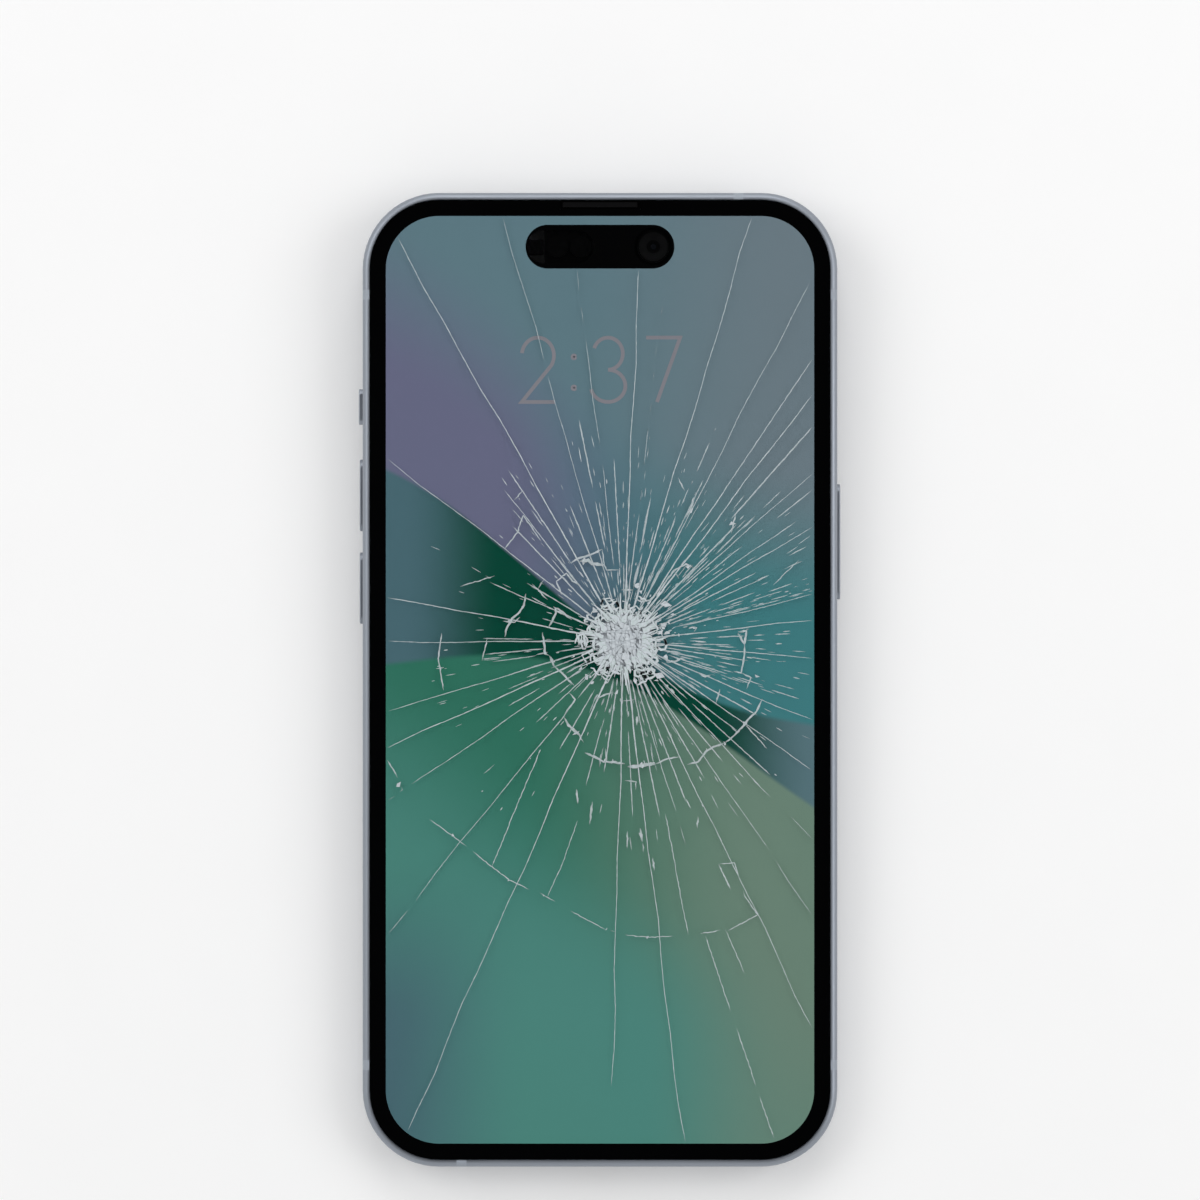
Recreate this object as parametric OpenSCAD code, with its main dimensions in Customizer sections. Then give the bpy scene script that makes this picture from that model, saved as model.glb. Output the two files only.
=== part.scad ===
// Touch-screen handset with a shattered front glass, lying on its back.
// Millimetres. The screen faces +Z and the top end points to +Y.
// x = y = 0 is the middle of the body, and z = 0 is the face of the rear lens rings.

/* [Body] */
// Width of the body across the band
body_w = 71.5; // [70:0.1:90]
// Length of the body
body_l = 146.7; // [142:0.1:180]
// Thickness of the body without the camera step
body_t = 7.65; // [7.4:0.05:10]
// Radius of the body's corners, seen from the front
corner_r = 11.5; // [9:0.5:14]
// Rounding of the band's front and back edges
edge_r = 0.95; // [0.4:0.05:1]
// Thickness of the band's wall
wall_t = 2.4; // [2:0.1:2.8]
// Thickness of the mid-plate
plate_t = 0.5; // [0.4:0.05:0.8]
// Width of the metal lip seen round each glass
lip_w = 1; // [0.8:0.1:1.2]

/* [Front glass and display] */
// Thickness of the front glass
glass_t = 0.75; // [0.6:0.05:1]
// Gap between each glass and the lip round it
glass_gap = 0.05; // [0.02:0.01:0.1]
// Width of the black border, from the lip to the lit screen
border_w = 2.475; // [1.5:0.025:4]
// Thickness of the seal under the front glass
seal_t = 0.2; // [0.1:0.05:0.3]
// Thickness of the light-emitting panel
panel_t = 0.5; // [0.4:0.05:0.7]
// Thickness of the stiffening plate behind the panel
stiff_t = 0.3; // [0.2:0.05:0.4]
// Distance from the top end to the middle of the sensor island
island_drop = 8.11; // [7.5:0.01:9]
// Length of the earpiece notch in the glass
notch_l = 11.95; // [8:0.05:14]
// Distance from the top end to the lower edge of the earpiece notch
notch_drop = 2.47; // [2.2:0.01:3]

/* [Cracks] */
// Impact point to the right of the middle
hit_x = 3.55; // [-15:0.05:15]
// Impact point above the middle
hit_y = 5.85; // [-30:0.05:30]
// Mean radius of the crushed pit
pit_r = 4.3; // [2:0.1:6]
// Depth of the crushed pit
pit_depth = 0.5; // [0.2:0.05:0.5]
// Width of a main crack near the pit
crack_w = 0.16; // [0.1:0.01:0.3]
// Depth of the cracks' open part
crack_depth = 0.4; // [0.2:0.05:0.5]

/* [Back and cameras] */
// Thickness of the back glass
back_t = 0.75; // [0.6:0.05:1]
// Side of the square camera step
step_w = 30; // [28:0.5:32]
// Height of the camera step above the back
step_h = 1; // [0.6:0.1:1.5]
// Distance from the body's side and top to the camera step
step_margin = 4.3; // [3.5:0.1:6]
// Outside radius of a lens ring
ring_r = 7.3; // [6.9:0.1:7.8]
// Height of a lens ring above the camera step
ring_h = 1.1; // [0.8:0.1:1.5]
// Offset of each lens from the middle of the step, in x and in y
lens_offset = 6.6; // [6:0.1:7]
// Side of a rear camera's square can
can_w = 11.5; // [10.5:0.1:12]
// Height of a rear camera's can
can_h = 4.2; // [3.5:0.1:4.6]

/* [Keys and card tray] */
// Length of the upper volume key
volume_up_l = 10.84; // [8:0.02:12]
// Length of the lower volume key
volume_down_l = 10.78; // [8:0.02:12]
// Length of the side key
side_key_l = 17.4; // [12:0.1:20]
// Height of the volume and side keys
key_h = 2.7; // [2:0.1:3.2]
// Distance that a key stands out of the band
key_proud = 0.5; // [0.3:0.05:0.8]
// Travel of a key when it is pressed
key_travel = 0.3; // [0.2:0.05:0.4]
// Gap round each key in its opening
key_gap = 0.08; // [0.05:0.01:0.12]
// Length of the ring switch's lever
switch_l = 5.37; // [4:0.01:6]
// Height of the ring switch's lever
switch_h = 1.7; // [1.4:0.1:1.8]
// Travel of the ring switch between its two stops
switch_travel = 1.2; // [0.8:0.1:1.3]
// Distance that the ring switch stands out of the band
switch_proud = 0.62; // [0.4:0.02:0.8]
// Distance from the top end to the middle of the ring switch
switch_drop = 32.2; // [30:0.1:34]
// Distance from the top end to the middle of the upper volume key
volume_up_drop = 45.54; // [44:0.02:48]
// Distance from the top end to the middle of the lower volume key
volume_down_drop = 59.54; // [58:0.02:62]
// Distance from the top end to the middle of the side key
side_key_drop = 52.54; // [48:0.02:56]
// Width of the card tray's outer plate
tray_w = 14.6; // [14.4:0.1:16]
// Height of the card tray's outer plate
tray_h = 1.8; // [1.6:0.1:2]
// Length of the card tray, from the band's outside
tray_l = 16.3; // [16:0.1:18]
// Distance from the top end to the middle of the card tray
tray_drop = 89.35; // [88:0.05:92]

/* [Inside] */
// Width of the logic board
board_w = 20.5; // [19:0.5:22]
// Length of the logic board
board_l = 87.5; // [85:0.5:89]
// Thickness of the logic board
board_t = 0.8; // [0.6:0.1:1]
// Height of the logic board above the mid-plate
board_lift = 1; // [0.9:0.1:1.2]
// Thickness of the battery
battery_t = 3.6; // [3:0.1:3.7]
// Outside radius of the charging coil
coil_r = 22.3; // [18:0.1:22.5]
// Height of the screw bosses that carry the brackets
boss_h = 1.2; // [1.2:0.1:1.4]
// Width of the loudspeaker
speaker_w = 20.4; // [16:0.2:21]
// Length of the loudspeaker and its lane at the bottom end
speaker_l = 20.5; // [16:0.5:21]
// Width of the vibration motor
motor_w = 21; // [16:0.5:21]
// Outside width of the charging port's shell
port_w = 8.94; // [8.9:0.02:9]
// Outside height of the charging port's shell
port_h = 3.16; // [3.1:0.02:3.2]

/* [Hidden] */
$fn = 64;

// Outline and levels
right = body_w / 2;
top = body_l / 2;
z_back = step_h + ring_h;
z_front = z_back + body_t;
z_mid = z_back + body_t / 2;
z_floor = z_back + back_t + plate_t;
z_ledge = z_front - glass_t - seal_t;
z_panel = z_front - glass_t - panel_t;
z_stack = z_panel - stiff_t;
in_x = right - wall_t;
in_y = top - wall_t;
through = 1;
snug = 0.02;
loose = 0.1;

// Screen and island
screen_w = body_w - 2 * (lip_w + border_w);
screen_l = body_l - 2 * (lip_w + border_w);
screen_r = corner_r - lip_w - border_w;
panel_inset = wall_t + 0.25;
plate_inset = wall_t + 0.4;
island_y = top - island_drop;
camera_x = 8.04;
camera_hole_r = 2.9;
pill_l = 10.1;
pill_h = 5;
pill_x = -5.95;
front_can_w = 6.5;
face_x = [-8.4, -1.2];
face_noses = [-6.4, -2.9];
face_l = 6.2;
nose_r = 1.6;
light_x = [-10.7, -8.6];
light_l = 2.2;
sensor_plate_x = [-11.5, 11.8];
sensor_plate_l = 6.8;
receiver_x = [-9, 3.7];
receiver_y = [island_y - 10.64, island_y - 4.24];
receiver_h = 3.4;
duct_x = -0.5;
mesh_inset = 1.42;
mesh_h = 0.75;
mesh_margin = 0.35;
duct_half = 5.2;

// Camera step
step_r = 8;
step_x = right - step_margin - step_w / 2;
step_y = top - step_margin - step_w / 2;
upper_lens = [step_x + lens_offset, step_y + lens_offset];
lower_lens = [step_x - lens_offset, step_y - lens_offset];
neck_r = ring_r - 1;
window_r = neck_r - 0.55;
window_t = 0.7;
barrel_r = window_r - 0.75;
flash_r = 2.45;
flash_at = [step_x - 7.05, step_y + 7.25];
flash_half = 3;
flash_board_t = 1.1;
microphone_at = [step_x + 7.4, step_y - 7];
microphone_size = [3, 2.4, 1];
sound_hole_r = 0.5;
camera_bosses = [[step_x - 3.45, step_y + 2.75], [step_x + 3.55, step_y - 4.55]];

// Keys: from the wall inwards come flange, nub, dome, ribbon and bracket
flange_t = 0.5;
flange_rim = 0.5;
nub_l = 0.3;
nub_r = 0.8;
dome_r = 1.6;
dome_t = 0.5;
ribbon_t = 0.15;
ribbon_half = 1.9;
bracket_t = 0.35;
nub_x = in_x - snug - flange_t - nub_l;
dome_x = nub_x - key_travel - snug;
ribbon_x = dome_x - dome_t;
bracket_x = ribbon_x - ribbon_t;
keys_x = bracket_x - bracket_t;
switch_y = top - switch_drop;
volume_up_y = top - volume_up_drop;
volume_down_y = top - volume_down_drop;
side_key_y = top - side_key_drop;
switch_plate_rim = 0.9;

// Card tray
tray_y = top - tray_drop;
tray_plate_t = 1;
tray_body_w = tray_w - 1.4;
tray_body_t = 0.95;
card_w = 12.3;
card_l = 8.8;
card_t = 0.67;
reader_wall = 0.3;

// Logic board and battery
z_board = z_floor + board_lift;
z_parts = z_board + board_t;
board_x0 = -(keys_x - 0.2);
board_x1 = board_x0 + board_w;
board_y1 = top - 11.85;
board_y0 = board_y1 - board_l;
shield_h = 1.6;
shield_t = 0.15;
connector_h = 0.8;
cover_y0 = board_y1 - 14.5;
cover_t = 0.25;
coil_t = 0.4;
coil_shield_t = 0.3;
magnet_in_r = coil_r + 1.5;
magnet_w = 3.5;
magnets = 18;
coil_lift = 25;
coil_y = board_y0 + coil_lift;
z_coil = z_floor + coil_t + coil_shield_t;
adhesive_t = 0.15;
battery_x0 = board_x1 + 1.5;
battery_x1 = keys_x - 0.2;
battery_y1 = lower_lens[1] - can_w / 2 - 3.2;
lane_y1 = -top + 6.35 + speaker_l;
battery_y0 = lane_y1 + 5;

// Bottom end
speaker_x0 = 9.6;
motor_x0 = -9 - motor_w;
motor_l = 10;
motor_h = 3.4;
nozzle_half = 0.95;
tongue_w = 6.69;
tongue_t = 0.7;
tongue_l = 5.1;
tongue_base = 1.4;
port_end = 0.6;
lug_w = 3;
lug_l = 1.8;
port_l = 8.2;
port_wall = 0.3;
port_y0 = -top + 0.25;
end_screw_x = 7.6;
hole_r = 0.8;
mesh_t = 0.45;
grille_rim = 1.2;
// rows of holes from beside each screw to the start of the corner
hole_start = 12;
hole_pitch = (right - corner_r - grille_rim - loose / 2 - hole_start) / 4;
right_holes = [for (i = [0:4]) hole_start + i * hole_pitch];
left_holes = [for (i = [0:2]) -hole_start - i * hole_pitch];

// Screws and bosses
shank_r = 0.6;
shank_l = 1.5;
head_r = 1;
head_h = 0.35;
bore_r = shank_r + snug;
bore_l = 1.35;
boss_r = 1.3;
z_boss = z_floor + boss_h;
ear_t = 0.4;
port_ribbon_t = 0.25;
foot_t = 0.3;
z_sensors = z_boss + foot_t;
board_screws = [[board_x0 + 11, board_y0 + 1.7], [board_x0 + 1.4, tray_y + 10.8]];
cover_points = [[board_x0 + 2.5, board_y1 - 2], [board_x1 - 2.2, board_y1 - 2]];
speaker_ears = [[speaker_x0 + speaker_w + 1.6, lane_y1 - 3.5], [speaker_x0 - 2.6, lane_y1 - 9.5]];
motor_ears = [for (x = [motor_x0 - 1.4, motor_x0 + motor_w + 1.4]) [x, lane_y1 - motor_l / 2]];
sensor_ears = [[-14.2, island_y + 1.3], [14.4, island_y + 1.8]];
port_feet = [[-7.6, -top + 6.75], [7.6, -top + 6.75]];

// Antenna breaks
break_w = 1.5;
break_d = 1.2;
side_break_y = top - 15.35;
end_break_x = right - 14.9;

// Main cracks: direction in degrees from +X, and how far each runs; 0 runs to the screen's edge
crack_rays = [
    [119.4, 0], [105.9, 0], [97.1, 0], [87.7, 0], [83.4, 0], [73.1, 0], [62.6, 0], [56.3, 30],
    [52.5, 0], [41.8, 0], [34.7, 28], [31.4, 0], [24.1, 0], [13.9, 0], [6.2, 0], [-5.1, 0],
    [-12.7, 18], [-22.9, 0], [-34.2, 0], [-38.6, 22], [-46.5, 0], [-55.3, 0], [-64, 0],
    [-73.2, 32], [-83.2, 0], [-91.5, 67], [-113.8, 0], [-128.9, 0], [-146, 0], [-155.6, 0],
    [-163.6, 0], [-170.9, 20], [-179.8, 0], [169.6, 0], [156, 22], [142.3, 0], [128.3, 29]
];
// Cross cracks: radius, first and last direction
crack_rings = [
    [13, 97.1, 128.3], [12, 169.6, 196.4], [18, 156, 180.2], [28, 180.2, 196.4], [19, 246.1, 296],
    [21, 304.7, 337.1], [18, 337.1, 354.9], [39.9, 222.9, 253.5], [44.9, 266.5, 296],
    [25, 128.3, 142.3], [8.6, 24.1, 52.5]
];
crack_step = 6;
crack_start = 3.4;
crack_margin = 0.3;
crack_sway = 0.12;

// A repeatable wander between -1 and 1 for step k of crack i
function wander(i, k) = sin(i * 137.5 + k * 83.7) * cos(i * 61.3 - k * 29.9);

// Distance from the impact to the screen's straight edges, in direction a
function ray_end(a) = min(
    (screen_w / 2 - crack_margin - hit_x * sign(cos(a))) / max(abs(cos(a)), 0.001),
    (screen_l / 2 - crack_margin - hit_y * sign(sin(a))) / max(abs(sin(a)), 0.001)
);

// Whether a point is past the screen's rounded corners
function corner_cut(p) = norm([
    max(0, abs(p[0]) - screen_w / 2 + screen_r), max(0, abs(p[1]) - screen_l / 2 + screen_r)
]) > screen_r - crack_margin;

// A point at distance r from the impact, in direction a
function polar(r, a) = [hit_x + r * cos(a), hit_y + r * sin(a)];

// Shared outlines
module rounded(w, l, r) {
    square([w - 2 * r, l], center = true);
    square([w, l - 2 * r], center = true);
    for (x = [-1, 1], y = [-1, 1])
        translate([x * (w / 2 - r), y * (l / 2 - r)])
            circle(r);
}

module body_outline(inset) {
    rounded(body_w - 2 * inset, body_l - 2 * inset, corner_r - inset);
}

module pill(l, h) {
    square([l - h, h], center = true);
    for (x = [-1, 1])
        translate([x * (l - h) / 2, 0])
            circle(h / 2);
}

// Extrudes an outline drawn in (y, z) along x
module along_x(x0, x1) {
    translate([x0, 0, 0])
        rotate([90, 0, 90])
            linear_extrude(x1 - x0)
                children();
}

// Extrudes an outline drawn in (x, z) along y
module along_y(y0, y1) {
    translate([0, y1, 0])
        rotate([90, 0, 0])
            linear_extrude(y1 - y0)
                children();
}

// A box from its lowest to its highest corner
module block(low, high) {
    translate(low)
        cube(high - low);
}

// Section of the band, its outer face at x = 0
module band_section() {
    translate([-wall_t, 0])
        square([wall_t - edge_r, body_t]);
    translate([-wall_t, edge_r])
        square([wall_t, body_t - 2 * edge_r]);
    for (z = [edge_r, body_t - edge_r])
        translate([-edge_r, z])
            circle(edge_r);
}

module band_bar(length) {
    along_y(-length / 2, length / 2)
        band_section();
}

module band() {
    corners = [[1, 1], [-1, 1], [-1, -1], [1, -1]];
    translate([0, 0, z_back]) {
        for (k = [0:3])
            translate([corners[k][0] * (right - corner_r), corners[k][1] * (top - corner_r), 0])
                rotate([0, 0, 90 * k])
                    rotate_extrude(angle = 90, $fn = 96)
                        translate([corner_r, 0])
                            band_section();
        for (side = [0, 180])
            rotate([0, 0, side])
                translate([right, 0, 0])
                    band_bar(body_l - 2 * corner_r);
        for (end = [90, 270])
            rotate([0, 0, end])
                translate([top, 0, 0])
                    band_bar(body_w - 2 * corner_r);
    }
}

module glass_pockets() {
    translate([0, 0, z_ledge])
        linear_extrude(glass_t + seal_t + through)
            body_outline(lip_w);
    translate([0, 0, z_back - through])
        linear_extrude(back_t + through)
            body_outline(lip_w);
}

module break_slots() {
    for (side = [-1, 1]) {
        for (y = [-side_break_y, side_break_y])
            translate([side * right, y, z_mid])
                cube([2 * break_d, break_w, body_t + 2 * through], center = true);
        translate([side * end_break_x, side * top, z_mid])
            cube([break_w, 2 * break_d, body_t + 2 * through], center = true);
    }
}

// A key's opening through the left or right wall
module key_opening(side, y, l) {
    translate([side * (right - wall_t / 2), y, z_mid])
        along_x(-wall_t, wall_t)
            pill(l + 2 * key_gap, key_h + 2 * key_gap);
}

// The ring switch's opening, tall enough for the lever's travel
module switch_opening() {
    h = switch_h + 2 * key_gap;
    translate([-right + wall_t / 2, switch_y, z_mid])
        along_x(-wall_t, wall_t)
            rounded(switch_l + 2 * key_gap, h + switch_travel, h / 2);
}

module boss(p, z_top) {
    translate([p[0], p[1], z_floor - plate_t / 2])
        cylinder(r = boss_r, h = z_top - z_floor + plate_t / 2);
}

module boss_bore(p, z_top) {
    translate([p[0], p[1], z_top - bore_l])
        cylinder(r = bore_r, h = bore_l + through, $fn = 32);
}

low_bosses = concat(speaker_ears, motor_ears, sensor_ears, port_feet);
board_bosses = concat(board_screws, cover_points);

module frame() {
    color([0.66, 0.68, 0.72])
        difference() {
            union() {
                band();
                translate([0, 0, z_floor - plate_t])
                    linear_extrude(plate_t)
                        body_outline(wall_t - 0.3);
                for (p = low_bosses)
                    boss(p, z_boss);
                for (p = board_bosses)
                    boss(p, z_board);
                for (p = camera_bosses)
                    boss(p, z_floor + can_h);
            }
            glass_pockets();
            break_slots();
            for (p = low_bosses)
                boss_bore(p, z_boss);
            for (p = board_bosses)
                boss_bore(p, z_board);
            for (p = camera_bosses)
                boss_bore(p, z_floor + can_h);
            for (p = [upper_lens, lower_lens])
                translate([p[0], p[1], z_back])
                    cylinder(r = neck_r + loose, h = body_t / 2);
            translate([flash_at[0], flash_at[1], z_back])
                cylinder(r = flash_r + loose, h = body_t / 2);
            translate([microphone_at[0], microphone_at[1], z_back])
                cylinder(r = sound_hole_r, h = body_t / 2, $fn = 32);
            key_opening(1, side_key_y, side_key_l);
            key_opening(-1, volume_up_y, volume_up_l);
            key_opening(-1, volume_down_y, volume_down_l);
            switch_opening();
            tray_opening();
            bottom_openings();
            // sound duct from the earpiece to the notch
            translate([-duct_half, in_y - through, z_stack - 1.5])
                cube([2 * duct_half, wall_t + through - mesh_inset - loose, body_t]);
        }
}

module tray_opening() {
    translate([-right, tray_y, z_mid])
        along_x(-through, tray_plate_t + snug)
            pill(tray_w + 2 * key_gap, tray_h + 2 * key_gap);
    translate([-right, tray_y, z_mid])
        along_x(0, wall_t + through)
            square([tray_body_w + 2 * loose, tray_body_t + loose], center = true);
}

module bottom_openings() {
    translate([0, 0, z_mid]) {
        along_y(-top - through, -in_y + through)
            pill(port_w + 2 * key_gap, port_h + 2 * key_gap);
        for (x = concat(right_holes, left_holes))
            translate([x, 0, 0])
                along_y(-top - through, -in_y + through)
                    circle(hole_r, $fn = 32);
        for (x = [-end_screw_x, end_screw_x])
            translate([x, 0, 0]) {
                along_y(-top - through, -top + 0.75)
                    circle(head_r, $fn = 32);
                along_y(-top, -in_y + through)
                    circle(shank_r + 0.05, $fn = 32);
            }
    }
}

module antenna_breaks() {
    color([0.62, 0.64, 0.68])
        difference() {
            intersection() {
                band();
                break_slots();
            }
            glass_pockets();
        }
}

module notch_outline() {
    r = 0.7;
    y0 = top - notch_drop;
    translate([0, y0 + r])
        pill(notch_l, 2 * r);
    translate([-notch_l / 2, y0 + r])
        square([notch_l, notch_drop]);
}

// One crack as a thin tapered strip along its wandering path
module crack_strip(points, widths) {
    n = len(points) - 1;
    ahead = [for (k = [0:n]) points[min(k + 1, n)] - points[max(k - 1, 0)]];
    side = [for (v = ahead) [-v[1], v[0]] / norm(v)];
    polygon(concat(
        [for (k = [0:n]) points[k] + side[k] * widths[k] / 2],
        [for (k = [n:-1:0]) points[k] - side[k] * widths[k] / 2]
    ));
}

module crack_ray(i) {
    a = crack_rays[i][0];
    reach = crack_rays[i][1] > 0 ? crack_rays[i][1] : ray_end(a);
    n = ceil((reach - crack_start) / crack_step);
    radii = [for (k = [0:n]) crack_start + (reach - crack_start) * k / n];
    path = [
        for (k = [0:n])
            let (sway = k == 0 ? 0 : crack_sway * wander(i, k) * sqrt(radii[k] / 10))
                polar(radii[k], a) + sway * [-sin(a), cos(a)]
    ];
    inside = [for (p = path) if (!corner_cut(p)) p];
    last = len(inside) - 1;
    crack_strip(inside, [for (k = [0:last]) crack_w * (1 - 0.65 * k / last)]);
}

module crack_ring(i) {
    r = crack_rings[i][0];
    a0 = crack_rings[i][1];
    a1 = crack_rings[i][2];
    n = max(2, round((a1 - a0) / 8));
    path = [for (k = [0:n]) polar(r + 0.5 * wander(i + 50, k), a0 + (a1 - a0) * k / n)];
    crack_strip(path, [for (k = [0:n]) crack_w * 0.7]);
}

module pit_outline() {
    steps = 28;
    polygon([
        for (k = [0:steps - 1])
            polar(pit_r + 0.9 * wander(90, k), 360 * k / steps)
    ]);
}

module cover_glass() {
    color([0.25, 0.32, 0.32])
        difference() {
            translate([0, 0, z_front - glass_t])
                linear_extrude(glass_t)
                    difference() {
                        body_outline(lip_w + glass_gap);
                        notch_outline();
                    }
            translate([0, 0, z_front - crack_depth])
                linear_extrude(crack_depth + through) {
                    for (i = [0:len(crack_rays) - 1])
                        crack_ray(i);
                    for (i = [0:len(crack_rings) - 1])
                        crack_ring(i);
                }
            translate([0, 0, z_front - pit_depth])
                linear_extrude(pit_depth + through)
                    pit_outline();
        }
}

module island_holes(grow) {
    translate([pill_x, island_y])
        pill(pill_l + 2 * grow, pill_h + 2 * grow);
    translate([camera_x, island_y])
        circle(camera_hole_r + grow);
}

module display_panel() {
    color([0.2, 0.38, 0.36])
        translate([0, 0, z_panel])
            linear_extrude(panel_t)
                difference() {
                    body_outline(panel_inset);
                    island_holes(0);
                }
}

module display_plate() {
    color([0.3, 0.3, 0.32])
        difference() {
            union() {
                translate([0, 0, z_stack])
                    linear_extrude(stiff_t)
                        difference() {
                            body_outline(plate_inset);
                            island_holes(0.2);
                        }
                for (x = [-end_screw_x, end_screw_x])
                    translate([x - lug_w / 2, -in_y + mesh_t, z_mid - boss_r])
                        cube([lug_w, lug_l, z_stack + stiff_t / 2 - z_mid + boss_r]);
            }
            for (x = [-end_screw_x, end_screw_x])
                translate([x, 0, z_mid])
                    along_y(-in_y, -in_y + 3)
                        circle(bore_r, $fn = 32);
        }
}

module display_gasket() {
    color([0.08, 0.08, 0.09])
        translate([0, 0, z_ledge])
            linear_extrude(seal_t)
                difference() {
                    body_outline(lip_w + 0.15);
                    body_outline(wall_t - 0.05);
                    translate([-notch_l / 2 - mesh_margin, top - 2 * wall_t])
                        square([notch_l + 2 * mesh_margin, 2 * wall_t]);
                }
}

module display_ribbon() {
    x0 = board_x0 + 4;
    y0 = cover_y0;
    z0 = z_parts + connector_h;
    color([0.75, 0.5, 0.2])
        along_x(x0, x0 + 10)
            polygon([
                [y0 - 11, z_stack], [y0 - 11, z_stack - ribbon_t], [y0 - 2.8, z_stack - ribbon_t],
                [y0 - 1, z0], [y0 + 8, z0], [y0 + 8, z0 + ribbon_t], [y0 - 0.9, z0 + ribbon_t],
                [y0 - 2.7, z_stack]
            ]);
}

module earpiece_mesh() {
    half = notch_l / 2 - mesh_margin;
    color([0.05, 0.05, 0.055])
        block([-half, top - mesh_inset - mesh_h, z_ledge], [half, top - mesh_inset, z_ledge + 0.5]);
}

module earpiece_speaker() {
    z0 = z_floor + receiver_h;
    color([0.12, 0.12, 0.13]) {
        block([receiver_x[0], receiver_y[0], z_floor], [receiver_x[1], receiver_y[1], z0]);
        block([duct_x, receiver_y[0] + 1.6, z0], [receiver_x[1], in_y - 0.3, z_stack - loose]);
    }
}

// A sensor's box in line with the island, from the bracket up to z1
module sensor_box(x0, x1, l, z1) {
    block([x0, island_y - l / 2, z_sensors], [x1, island_y + l / 2, z1]);
}

// A sensor's round nose, up through the holes in the display
module sensor_nose(x, r) {
    translate([x, island_y, z_stack - 1])
        cylinder(r = r, h = z_panel + panel_t - z_stack + 1 - loose / 2);
}

module front_camera() {
    half = front_can_w / 2;
    color([0.08, 0.08, 0.1]) {
        sensor_box(camera_x - half, camera_x + half, front_can_w, z_stack - loose);
        sensor_nose(camera_x, camera_hole_r - 0.5);
    }
}

module face_sensor() {
    color([0.1, 0.1, 0.12]) {
        sensor_box(face_x[0], face_x[1], face_l, z_stack - loose);
        for (x = face_noses)
            sensor_nose(x, nose_r);
    }
}

module light_sensor() {
    color([0.2, 0.22, 0.3])
        sensor_box(light_x[0], light_x[1], light_l, z_panel + panel_t - loose);
}

module sensor_bracket() {
    color("silver")
        translate([0, 0, z_boss])
            linear_extrude(foot_t)
                difference() {
                    union() {
                        translate([sensor_plate_x[0], island_y - sensor_plate_l / 2])
                            square([sensor_plate_x[1] - sensor_plate_x[0], sensor_plate_l]);
                        for (p = sensor_ears)
                            translate(p)
                                square([4.3 * boss_r, 2 * boss_r], center = true);
                    }
                    for (p = sensor_ears)
                        translate(p)
                            circle(shank_r + 0.05, $fn = 32);
                }
}

module step_outline() {
    translate([step_x, step_y])
        rounded(step_w, step_w, step_r);
}

module back_glass() {
    color([0.12, 0.13, 0.15])
        difference() {
            union() {
                translate([0, 0, z_back])
                    linear_extrude(back_t)
                        body_outline(lip_w + glass_gap);
                translate([0, 0, ring_h])
                    linear_extrude(step_h + back_t / 2)
                        step_outline();
            }
            for (p = [upper_lens, lower_lens])
                translate([p[0], p[1], 0])
                    cylinder(r = neck_r + loose, h = z_floor);
            translate([flash_at[0], flash_at[1], 0])
                cylinder(r = flash_r + loose, h = z_floor);
            translate([microphone_at[0], microphone_at[1], 0])
                cylinder(r = sound_hole_r, h = z_floor, $fn = 32);
        }
}

module camera_rings() {
    color([0.55, 0.56, 0.6])
        for (p = [upper_lens, lower_lens])
            translate([p[0], p[1], 0])
                difference() {
                    union() {
                        cylinder(r = ring_r, h = ring_h);
                        cylinder(r = neck_r, h = z_floor);
                    }
                    translate([0, 0, -through])
                        cylinder(r = window_r + 0.05, h = window_t + loose + through);
                    cylinder(r = window_r - 0.45, h = z_floor + through);
                }
}

module camera_windows() {
    color([0.1, 0.12, 0.16, 0.6])
        for (p = [upper_lens, lower_lens])
            translate([p[0], p[1], loose])
                cylinder(r = window_r, h = window_t);
}

module rear_camera(p) {
    color([0.1, 0.1, 0.11]) {
        translate([p[0] - can_w / 2, p[1] - can_w / 2, z_floor])
            cube([can_w, can_w, can_h]);
        translate([p[0], p[1], window_t + 3 * loose])
            difference() {
                cylinder(r = barrel_r, h = z_floor - window_t);
                translate([0, 0, -through])
                    cylinder(r1 = barrel_r - 0.6, r2 = 1, h = 2);
            }
    }
}

module upper_rear_camera() {
    rear_camera(upper_lens);
}

module lower_rear_camera() {
    rear_camera(lower_lens);
}

module camera_bracket() {
    color("silver")
        translate([0, 0, z_floor + can_h])
            linear_extrude(foot_t)
                difference() {
                    union() {
                        for (p = [upper_lens, lower_lens])
                            translate(p)
                                square(can_w - 1, center = true);
                        translate([step_x, step_y])
                            square(can_w, center = true);
                    }
                    for (p = camera_bosses)
                        translate(p)
                            circle(shank_r + 0.05, $fn = 32);
                }
}

module flash_light() {
    color([0.95, 0.9, 0.7])
        translate([flash_at[0], flash_at[1], 0]) {
            translate([0, 0, ring_h + 0.05])
                cylinder(r = flash_r, h = z_floor - ring_h);
            block([-flash_half, -flash_half, z_floor], [flash_half, flash_half, z_floor + flash_board_t]);
        }
}

module rear_microphone() {
    color("gold")
        translate([microphone_at[0], microphone_at[1], z_floor])
            translate([-microphone_size[0] / 2, -microphone_size[1] / 2, 0])
                cube(microphone_size);
}

module logic_board() {
    color([0.08, 0.25, 0.16])
        difference() {
            block([board_x0, board_y0, z_board], [board_x1, board_y1, z_parts]);
            for (p = board_bosses)
                translate([p[0], p[1], z_board - through])
                    cylinder(r = shank_r + 0.05, h = board_t + 2 * through, $fn = 32);
        }
}

// A sheet-metal can, open underneath
module shield(x0, y0, x1, y1) {
    difference() {
        block([x0, y0, z_parts], [x1, y1, z_parts + shield_h]);
        block(
            [x0 + shield_t, y0 + shield_t, z_parts - through],
            [x1 - shield_t, y1 - shield_t, z_parts + shield_h - shield_t]
        );
    }
}

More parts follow.
